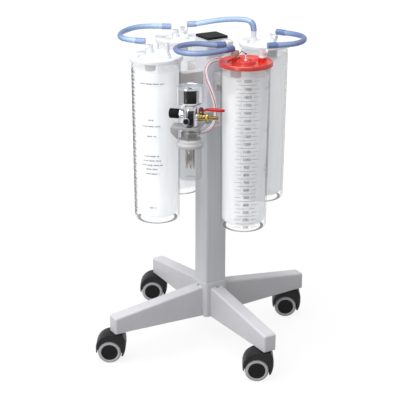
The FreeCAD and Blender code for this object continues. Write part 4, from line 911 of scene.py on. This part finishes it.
def regulator_body(at):
    """Chrome trunk with the seats of the knob, the valve and the plug."""
    low = PLATE_TOP
    rise, neck = SHOULDER - low, GAUGE_FOOT - low
    trunk = lathed("trunk", [(0, 0), (14.2, 0), (15, 0.8), (15, 3.6), (14.2, 4.0), (14.2, 5.0), (15, 5.4),
                             (15, rise)]
                   + arc_points(6, rise, 9, 0, 85, 8)[1:]
                   + [(6, neck - 2.5), (8.5, neck - 2), (8.5, neck), (0, neck)], 72, low)
    spigot = lathed("spigot", [(0, NUT_BOTTOM), (7.8, NUT_BOTTOM), (7.8, low), (0, low)], 32)
    knob_seat = shifted(lathed("knob_seat", [(0, 0), (9.0, 0), (9.0, 16.5), (8.4, 17.2), (7.2, 17.4), (7.2, 19.6),
                                             (6.8, 20.0), (0, 20)], 48), tilt=-90, z=KNOB_AXIS)
    lock_ring = lathed("lock_ring", [(0, 17.6), (9.4, 17.6), (10.2, 18.2), (10.2, 20.4), (9.6, 20.9),
                                     (0, 20.9)], 6)
    lock_ring = shifted(lock_ring, tilt=-90, z=KNOB_AXIS)
    valve_seat = shifted(lathed("valve_seat", [(0, 0), (8.4, 0), (8.4, 16.0), (8.0, 16.8), (0, 17)], 48), tilt=90,
                         z=VALVE_AXIS)
    plug_seat = shifted(lathed("plug_seat", [(0, 0), (6.4, 0), (6.4, 15.5), (6.0, 16), (0, 16)], 36), roll=90,
                        x=-4, z=PLUG_AXIS)
    body = joined("regulator_trunk", [knob_seat, lock_ring, valve_seat, plug_seat, spigot, trunk])
    dressed(body, "chrome", "trolley", "regulator_body", place=at)
    dressed(rounded_copy("port_plug", "round_plug", 0.4), "black_plastic", "trolley", "port_plug")


def pressure_knob(at):
    """Ribbed black knob."""
    grip = lathed("grip", [(0, 0), (8.4, 0), (9.2, 0.8), (9.2, 2.4), (8.6, 3), (8.8, 3.4), (8.8, 20), (8.2, 21),
                           (6.6, 21.4), (6.2, 21.0), (0, 20.8)], 48)
    ridge = softened(bar("ridge", (3.4, 1.5, 1.3), (20.2, 1.5, 1.3), y=9.1), 0.35, 2)
    knob = joined("knurled_grip", [grip, ringed(ridge, 24)])
    knob = shifted(knob, tilt=-90, x=-KNOB_NEAR, z=KNOB_AXIS)
    dressed(knob, "black_plastic", "knob", "pressure_knob", place=at)


def gauge(at):
    """Chrome case, printed dial, needle and lens."""
    foot, seat, face, top = GAUGE_FOOT, DIAL_FOOT, DIAL_FACE, GAUGE_TOP
    case = lathed("gauge_drum", [(0, foot), (21.5, foot), (22.6, foot + 0.3), (25.8, foot + 3.6),
                                 (26.4, foot + 4.8), (26.4, foot + 5.2),
                                 (26.4, top - 6.2), (26.4, top - 5.8), (26.0, top - 5.4),
                                 (26.0, top - 4.8), (26.8, top - 4.4), (26.9, top - 1.4), (26.3, top - 0.3),
                                 (25.2, top), (24.0, top - 0.4), (23.4, top - 1.2), (23.4, seat), (0, seat)], 96)
    dressed(case, "chrome", "trolley", "gauge_case", place=at)
    plate = lathed("dial_plate", [(0, seat), (23.3, seat), (23.3, face - 0.3), (23.0, face), (1.0, face),
                                  (1.0, face + 2.5), (0, face + 2.7)], 72)
    # The dial's bluish grey finish is painted lens reflection.
    dressed(plate, "dial_white", "trolley", "gauge_dial", place=at)
    dressed(dial_marks(), "needle_black", "trolley", place=at)
    dressed(rounded_copy("gauge_needle", "needle", 0.15), "needle_black", "needle", "gauge_needle")
    glass = lathed("gauge_glass", [(0, -2.8), (23.2, -2.8), (23.3, -2.6), (23.3, -1.8), (22.8, -1.4), (12, -0.8),
                                   (0, -0.6)], 72, GAUGE_TOP)
    dressed(glass, "clear_lens", "trolley", "gauge_lens", place=at)


def ball_valve(at):
    """Brass valve with its nuts, hose end and stem, and the red lever."""
    ball_body = lathed("ball_body", [(0, 17), (6.2, 17), (6.8, 17.5), (6.8, 19.2), (7.6, 20), (8.3, 21),
                                     (8.3, 25), (7.6, 26.2), (6.8, 27), (6.8, 31.5), (6.2, 32.4), (0, 32.5)], 48)
    end_nut = softened(lathed("end_nut", [(0, 32.5), (8.6, 32.5), (8.6, 38), (0, 38)], 6), 0.5)
    seat_nut = softened(lathed("seat_nut", [(0, 17.2), (8.8, 17.2), (8.8, 20.4), (0, 20.4)], 6), 0.5)
    valve = shifted(joined("valve_brass", [end_nut, seat_nut, ball_body]), tilt=90, z=VALVE_AXIS)
    gland = lathed("gland", [(0, 0), (5.4, 0), (5.4, 10.4), (4.9, 10.9), (4.4, 12.2), (2.9, 12.2), (2.9, 8),
                             (0, 8)], 32, VALVE_AXIS)
    valve = joined("ball_valve", [valve, shifted(gland, x=LEVER_AT)])
    dressed(valve, "brass", "trolley", "valve_body", place=at)
    rings = [(2.0, 40), (3.6, 38), (4.0, 38.6), (3.6, 41)]
    for k in range(4):
        rings += [(3.3, 42 + 3.6 * k), (4.0, 42.6 + 3.6 * k), (3.4, 45.2 + 3.6 * k)]
    barb = shifted(lathed("barb", rings + [(3.0, 57), (2.0, 57), (2.0, 40)], 36), tilt=90, z=VALVE_AXIS)
    dressed(barb, "brass", "trolley", "hose_barb", place=at).name = "brass_hose_end"
    dressed(rounded_copy("valve_lever", "lever", 0.6, 3), "lever_red", "lever", "valve_lever")
    dressed(rounded_copy("valve_stem", "lever_nut", 0.3), "dark_nut", "lever", "valve_stem")


def lever_grip(at):
    """Rounded vinyl grip on the lever's end."""
    grip = bar("lever_grip", GRIP_ROOT, GRIP_NECK)
    fresh(grip)
    bpy.ops.object.mode_set(mode="EDIT")
    bpy.ops.mesh.select_all(action="DESELECT")
    bpy.ops.object.mode_set(mode="OBJECT")
    for face in grip.data.polygons:
        face.select = face.center.z > (GRIP_NECK[0] - 0.1) * MM
    bpy.ops.object.mode_set(mode="EDIT")
    for rise, share in GRIP_STEPS:
        bpy.ops.mesh.extrude_region_move(TRANSFORM_OT_translate={"value": (0, 0, rise * MM)})
        bpy.ops.transform.resize(value=(share, share, 1))
    bpy.ops.object.mode_set(mode="OBJECT")
    grip = modified(softened(grip, 1.0, 3), "SUBSURF", levels=1)
    grip = shifted(shifted(grip, turn=90), tilt=90, z=LEVER_LEVEL)
    dressed(grip, "lever_red", "lever", place=at)


def safety_jar(at):
    """Hexagonal nut with its stub, white screw collar, clear jar and fluted float cage."""
    high = NUT_TOP - NUT_BOTTOM
    hexagon = lathed("hexagon", [(0, 0), (19.4, 0), (19.4, high - 1), (18.6, high), (0, high)], 6, NUT_BOTTOM)
    washer = lathed("washer", [(0, 0), (16.2, 0), (16.8, 0.6), (16.8, 4.2), (16.2, 5), (0, 5)], 56, NUT_TOP)
    stub = lathed("stub", [(0, 12), (3.4, 12), (3.4, 21.6), (3.0, 22), (0, 22)], 28)
    stub = shifted(shifted(stub, tilt=90, z=TUBE_LEVEL), turn=-REGULATOR_TURN)
    nut = joined("union_nut", [softened(hexagon, 0.9), washer, stub])
    dressed(nut, "nut_steel", "trolley", "jar_nut", place=at)
    foot, rim, roof = JAR_FOOT, COLLAR_BOTTOM, NUT_BOTTOM - 4
    inside, top = roof - rim, NUT_BOTTOM - rim
    collar = lathed("screw_collar", [(4.6, inside), (23.4, inside), (23.4, 0), (25.0, 0), (26.4, 0.4),
                                     (27.3, 1.4), (27.7, 3.0), (27.7, 5.4), (27.2, 7.0), (26.2, 8.4),
                                     (25.0, 9.4), (24.4, 10.6), (24.0, top - 2.8), (23.2, top - 1.2),
                                     (21.6, top - 0.2), (19.8, top), (4.6, top), (4.6, inside)], 80, rim)
    dressed(collar, "collar_white", "trolley", "jar_collar", place=at)
    jar = lathed("jar_glass", [(0, foot + 1.6), (12, foot + 1.2), (14, foot)]
                 + arc_points(17.3, foot + 6, 6, -80, 0)
                 + [(23.3, rim - 5), (23.3, roof), (21.3, roof), (21.3, foot + 7)]
                 + arc_points(17.3, foot + 6, 4, 0, -85)[1:] + [(12, foot + 3.2), (0, foot + 3.4)], 80)
    dressed(jar, "clear_jar", "trolley", "safety_jar", place=at)
    dressed(rounded_copy("float_cage", "fluted_cage", 0.25), "cage_steel", "trolley", "float_cage")
    plate = rounded_copy("regulator_bracket", "bracket_plate", 0.8, 3)
    dressed(plate, "bracket_grey", "trolley", "regulator_bracket")


def regulator():
    """The regulator's pieces, drawn upright on its axis with the valve along +X, and set beside the post."""
    at = (*REGULATOR_AT, REGULATOR_TURN)
    for part in (regulator_body, pressure_knob, gauge, ball_valve, lever_grip, safety_jar):
        part(at)


def dial_marks():
    """Printed ring of marks and plain numbers round the dial, from zero at its lower left."""
    marks, ink = [], DIAL_FACE + 0.05
    for k in range(DIAL_TICKS + 1):
        deep = 3.4 if k % 3 == 0 else 1.8
        tick = bar("tick", (ink, 0.45, deep), (ink + 0.08, 0.45, deep), y=20.8 - deep / 2)
        marks.append(shifted(tick, turn=(k / DIAL_TICKS - 0.5) * DIAL_SWEEP))
    for k in range(DIAL_NUMBERS + 1):
        turn = math.radians((k / DIAL_NUMBERS - 0.5) * DIAL_SWEEP)
        number = printed(str(20 * k), 4.4)
        marks.append(shifted(number, -13.6 * math.sin(turn), 13.6 * math.cos(turn), ink + 0.05))
    return joined("dial_print", marks)


# Base and hangers


def frame_pieces():
    """Cast base and hangers with their edges rounded."""
    dressed(rounded_copy("base_cross", "cast_base", 5.0, 5), "base_white", "trolley", "base_cross")
    for side in SIDES:
        dressed(rounded_copy("hanger_" + side, "hook_" + side, 0.6), "hanger_grey", "trolley", "hanger_" + side)


# Camera, light and floor


def photograph_camera():
    """Camera where the photograph was taken from."""
    azimuth, yaw, pitch, roll = (math.radians(angle) for angle in CAMERA_ANGLES)
    heading = azimuth + yaw
    ahead = Vector((-math.sin(heading) * math.cos(pitch), math.cos(heading) * math.cos(pitch), -math.sin(pitch)))
    level = Vector((math.cos(heading), math.sin(heading), 0))
    upward = level.cross(ahead)
    right = level * math.cos(roll) + upward * math.sin(roll)
    upward = upward * math.cos(roll) - level * math.sin(roll)
    data = bpy.data.cameras.new("photograph_camera")
    data.sensor_width = 36.0
    data.lens = CAMERA_FOCAL * data.sensor_width
    camera = bpy.data.objects.new("photograph_camera", data)
    bpy.context.scene.collection.objects.link(camera)
    turn = Matrix((right, upward, -ahead)).transposed().to_4x4()
    camera.matrix_world = Matrix.Translation(AXIS + Vector(CAMERA_AT) * MM) @ turn
    bpy.context.scene.camera = camera


def studio():
    """White surroundings, soft light from above and the sides, a pale floor, and grey cards for the chrome."""
    scene = bpy.context.scene
    scene.view_settings.view_transform = "Standard"
    world = bpy.data.worlds.new("studio")
    world.use_nodes = True
    nodes, links = world.node_tree.nodes, world.node_tree.links
    nodes["Background"].inputs["Color"].default_value = (1, 1, 1, 1)
    seen = nodes.new("ShaderNodeLightPath")
    strength = nodes.new("ShaderNodeMapRange")
    strength.inputs["To Min"].default_value = FILL_STRENGTH
    links.new(seen.outputs["Is Camera Ray"], strength.inputs["Value"])
    links.new(strength.outputs["Result"], nodes["Background"].inputs["Strength"])
    scene.world = world
    sky = bpy.data.lights.new("overhead_light", "SUN")
    sky.energy, sky.angle = OVERHEAD_STRENGTH, math.radians(60)
    overhead = bpy.data.objects.new("overhead_light", sky)
    overhead.rotation_euler = Vector((0.95, 0.12, -2.6)).to_track_quat("-Z", "Y").to_euler()
    scene.collection.objects.link(overhead)
    for name, (place, size, power) in STRIPS.items():
        data = bpy.data.lights.new(name, "AREA")
        data.shape = "RECTANGLE"
        data.size, data.size_y, data.energy = *size, power
        light = bpy.data.objects.new(name, data)
        light.location = place
        light.rotation_euler = (Vector((0, 0, 0.5)) - light.location).to_track_quat("-Z", "Y").to_euler()
        scene.collection.objects.link(light)
    fresh()
    bpy.ops.mesh.primitive_plane_add(size=30)
    floor = bpy.context.object
    floor.name = "floor"
    pale = Finish("pale_floor", (0.1, 0.1, 0.1), roughness=0.8)
    pale.shader.inputs["Emission Color"].default_value = (1, 1, 1, 1)
    pale.shader.inputs["Emission Strength"].default_value = FLOOR_GLOW
    pale.coloured(pale.ramp(pale.noise(3), (0.3, (0.11, 0.11, 0.11)), (0.7, (0.13, 0.13, 0.13))))
    floor.data.materials.append(pale.material)
    flag = hidden_panel("side_flag", 2.1, (0.75, -2.0, 0.75), (0, 0, 0.4), 0.02)
    bounce = hidden_panel("bounce_card", 8.0, (0, 0, 0.0003), (0, 0, -1), 0.28)
    [card_fan(name, *span) for name, span in CARDS.items()]


def hidden_panel(name, size, place, target, shade):
    """Grey panel that isn't seen, and that tempers the soft light which comes from its side."""
    fresh()
    bpy.ops.mesh.primitive_plane_add(size=size)
    panel = bpy.context.object
    panel.name = name
    panel.location = place
    panel.rotation_euler = (panel.location - Vector(target)).to_track_quat("Z", "Y").to_euler()
    panel.data.materials.append(Finish(name, (shade, shade, shade), roughness=1.0).material)
    panel.visible_camera = panel.visible_glossy = panel.visible_shadow = panel.visible_transmission = False
    return panel


def card_fan(name, first, last, shade):
    """Card lying on the floor as part of a ring round the gauge, seen only in the chrome's reflections."""
    centre = AXIS + Vector((*REGULATOR_AT, 5)) * MM
    heading = math.atan2(CAMERA_AT[1] - REGULATOR_AT[1], CAMERA_AT[0] - REGULATOR_AT[0])
    fresh()
    bpy.ops.mesh.primitive_grid_add(x_subdivisions=24, y_subdivisions=1, size=1)
    card = bpy.context.object
    card.name = name
    for corner in card.data.vertices:
        turn = heading + math.radians(first + (last - first) * (corner.co.x + 0.5))
        reach = 0.9 if corner.co.y < 0 else 4.5
        corner.co = (centre.x + reach * math.cos(turn), centre.y + reach * math.sin(turn), centre.z)
    finish = Finish(name, (shade, shade, shade), roughness=1.0, specular_ior_level=0.0)
    card.data.materials.append(finish.material)
    card.visible_camera = card.visible_diffuse = card.visible_shadow = card.visible_transmission = False
    return card


# Hoses


def points_along(line):
    """Points of a hose's centre line, in millimetres, as its curve gives them without its bevel."""
    plain = line.copy()
    plain.bevel_depth = 0
    carrier = bpy.data.objects.new("centre_line", plain)
    mesh = bpy.data.meshes.new_from_object(carrier)
    points = [corner.co / MM for corner in mesh.vertices]
    bpy.data.objects.remove(carrier)
    return points


def end_of(points, length):
    """The part of a line that reaches a length from its first point."""
    part, gone = [points[0]], 0.0
    for start, end in zip(points, points[1:]):
        step = (end - start).length
        if gone + step >= length:
            part.append(start.lerp(end, (length - gone) / step))
            break
        part.append(end)
        gone += step
    return part


def beside(points, first, last, first_angle, last_angle):
    """Line on the tube's skin, between two shares of its length: 0 degrees faces the photograph's camera."""
    camera = AXIS / MM + Vector(CAMERA_AT)
    chosen, count = [], len(points) - 1
    for k in range(int(first * count) + 1, int(last * count)):
        along = (points[k + 1] - points[k - 1]).normalized()
        toward = camera - points[k]
        toward = (toward - along * toward.dot(along)).normalized()
        share = min((k / count - first) / (last - first) * 1.6, 1)
        angle = math.radians(first_angle + (last_angle - first_angle) * share)
        skin = toward * math.cos(angle) + along.cross(toward) * math.sin(angle)
        chosen.append(points[k] + skin * (TUBE_RADIUS - STRIPE_SINK))
    return chosen


def on_cord(name, points):
    """The pieces on a hose: a darker cuff on each end, or the stripes of the clear tube."""
    if name == "vacuum_tube":
        red = routed_tube("red_stripe", beside(points, 0.0, 1.0, 62, -22), STRIPE_RADIUS, 6, "POLY")
        blue = routed_tube("blue_stripe", beside(points, 0.62, 0.98, 70, 62), STRIPE_RADIUS, 6, "POLY")
        return [dressed(red, "stripe_red", "trolley"), dressed(blue, "stripe_blue", "trolley")]
    ends = {"_cuff_first": end_of(points, CUFF_LONG), "_cuff_last": end_of(points[::-1], CUFF_LONG)}
    tint = "hose_blue" if name in HOSE_FINISHES else "cuff_blue"
    return [dressed(softened(routed_tube(name + end, part, CUFF_RADIUS, 14, "POLY"), 0.3, 2), tint, "trolley")
            for end, part in ends.items()]


def cords():
    """The four blue hoses and the thin tube of the safety jar."""
    for name, route in HOSE_ROUTES.items():
        radius = TUBE_RADIUS if name == "vacuum_tube" else HOSE_RADIUS
        line = tube_line(name + "_line", route, radius, CORD_ROUNDING, origin=AXIS)
        line.splines[0].use_smooth = True
        line.resolution_u = 12
        line.materials.append(FINISHES[HOSE_FINISHES.get(name, "hose_blue")])
        piece = bpy.data.objects.new(name + "_bore", line)
        bpy.context.scene.collection.objects.link(piece)
        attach(piece, "trolley")
        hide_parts(name)
        2 * radius * MM
        on_cord(name, points_along(line))


photograph_camera()
cords()
finish_nodes()
canisters()
canister_prints()
lid_fittings()
plug_strap()
castor_parts()
regulator()
frame_pieces()
studio()
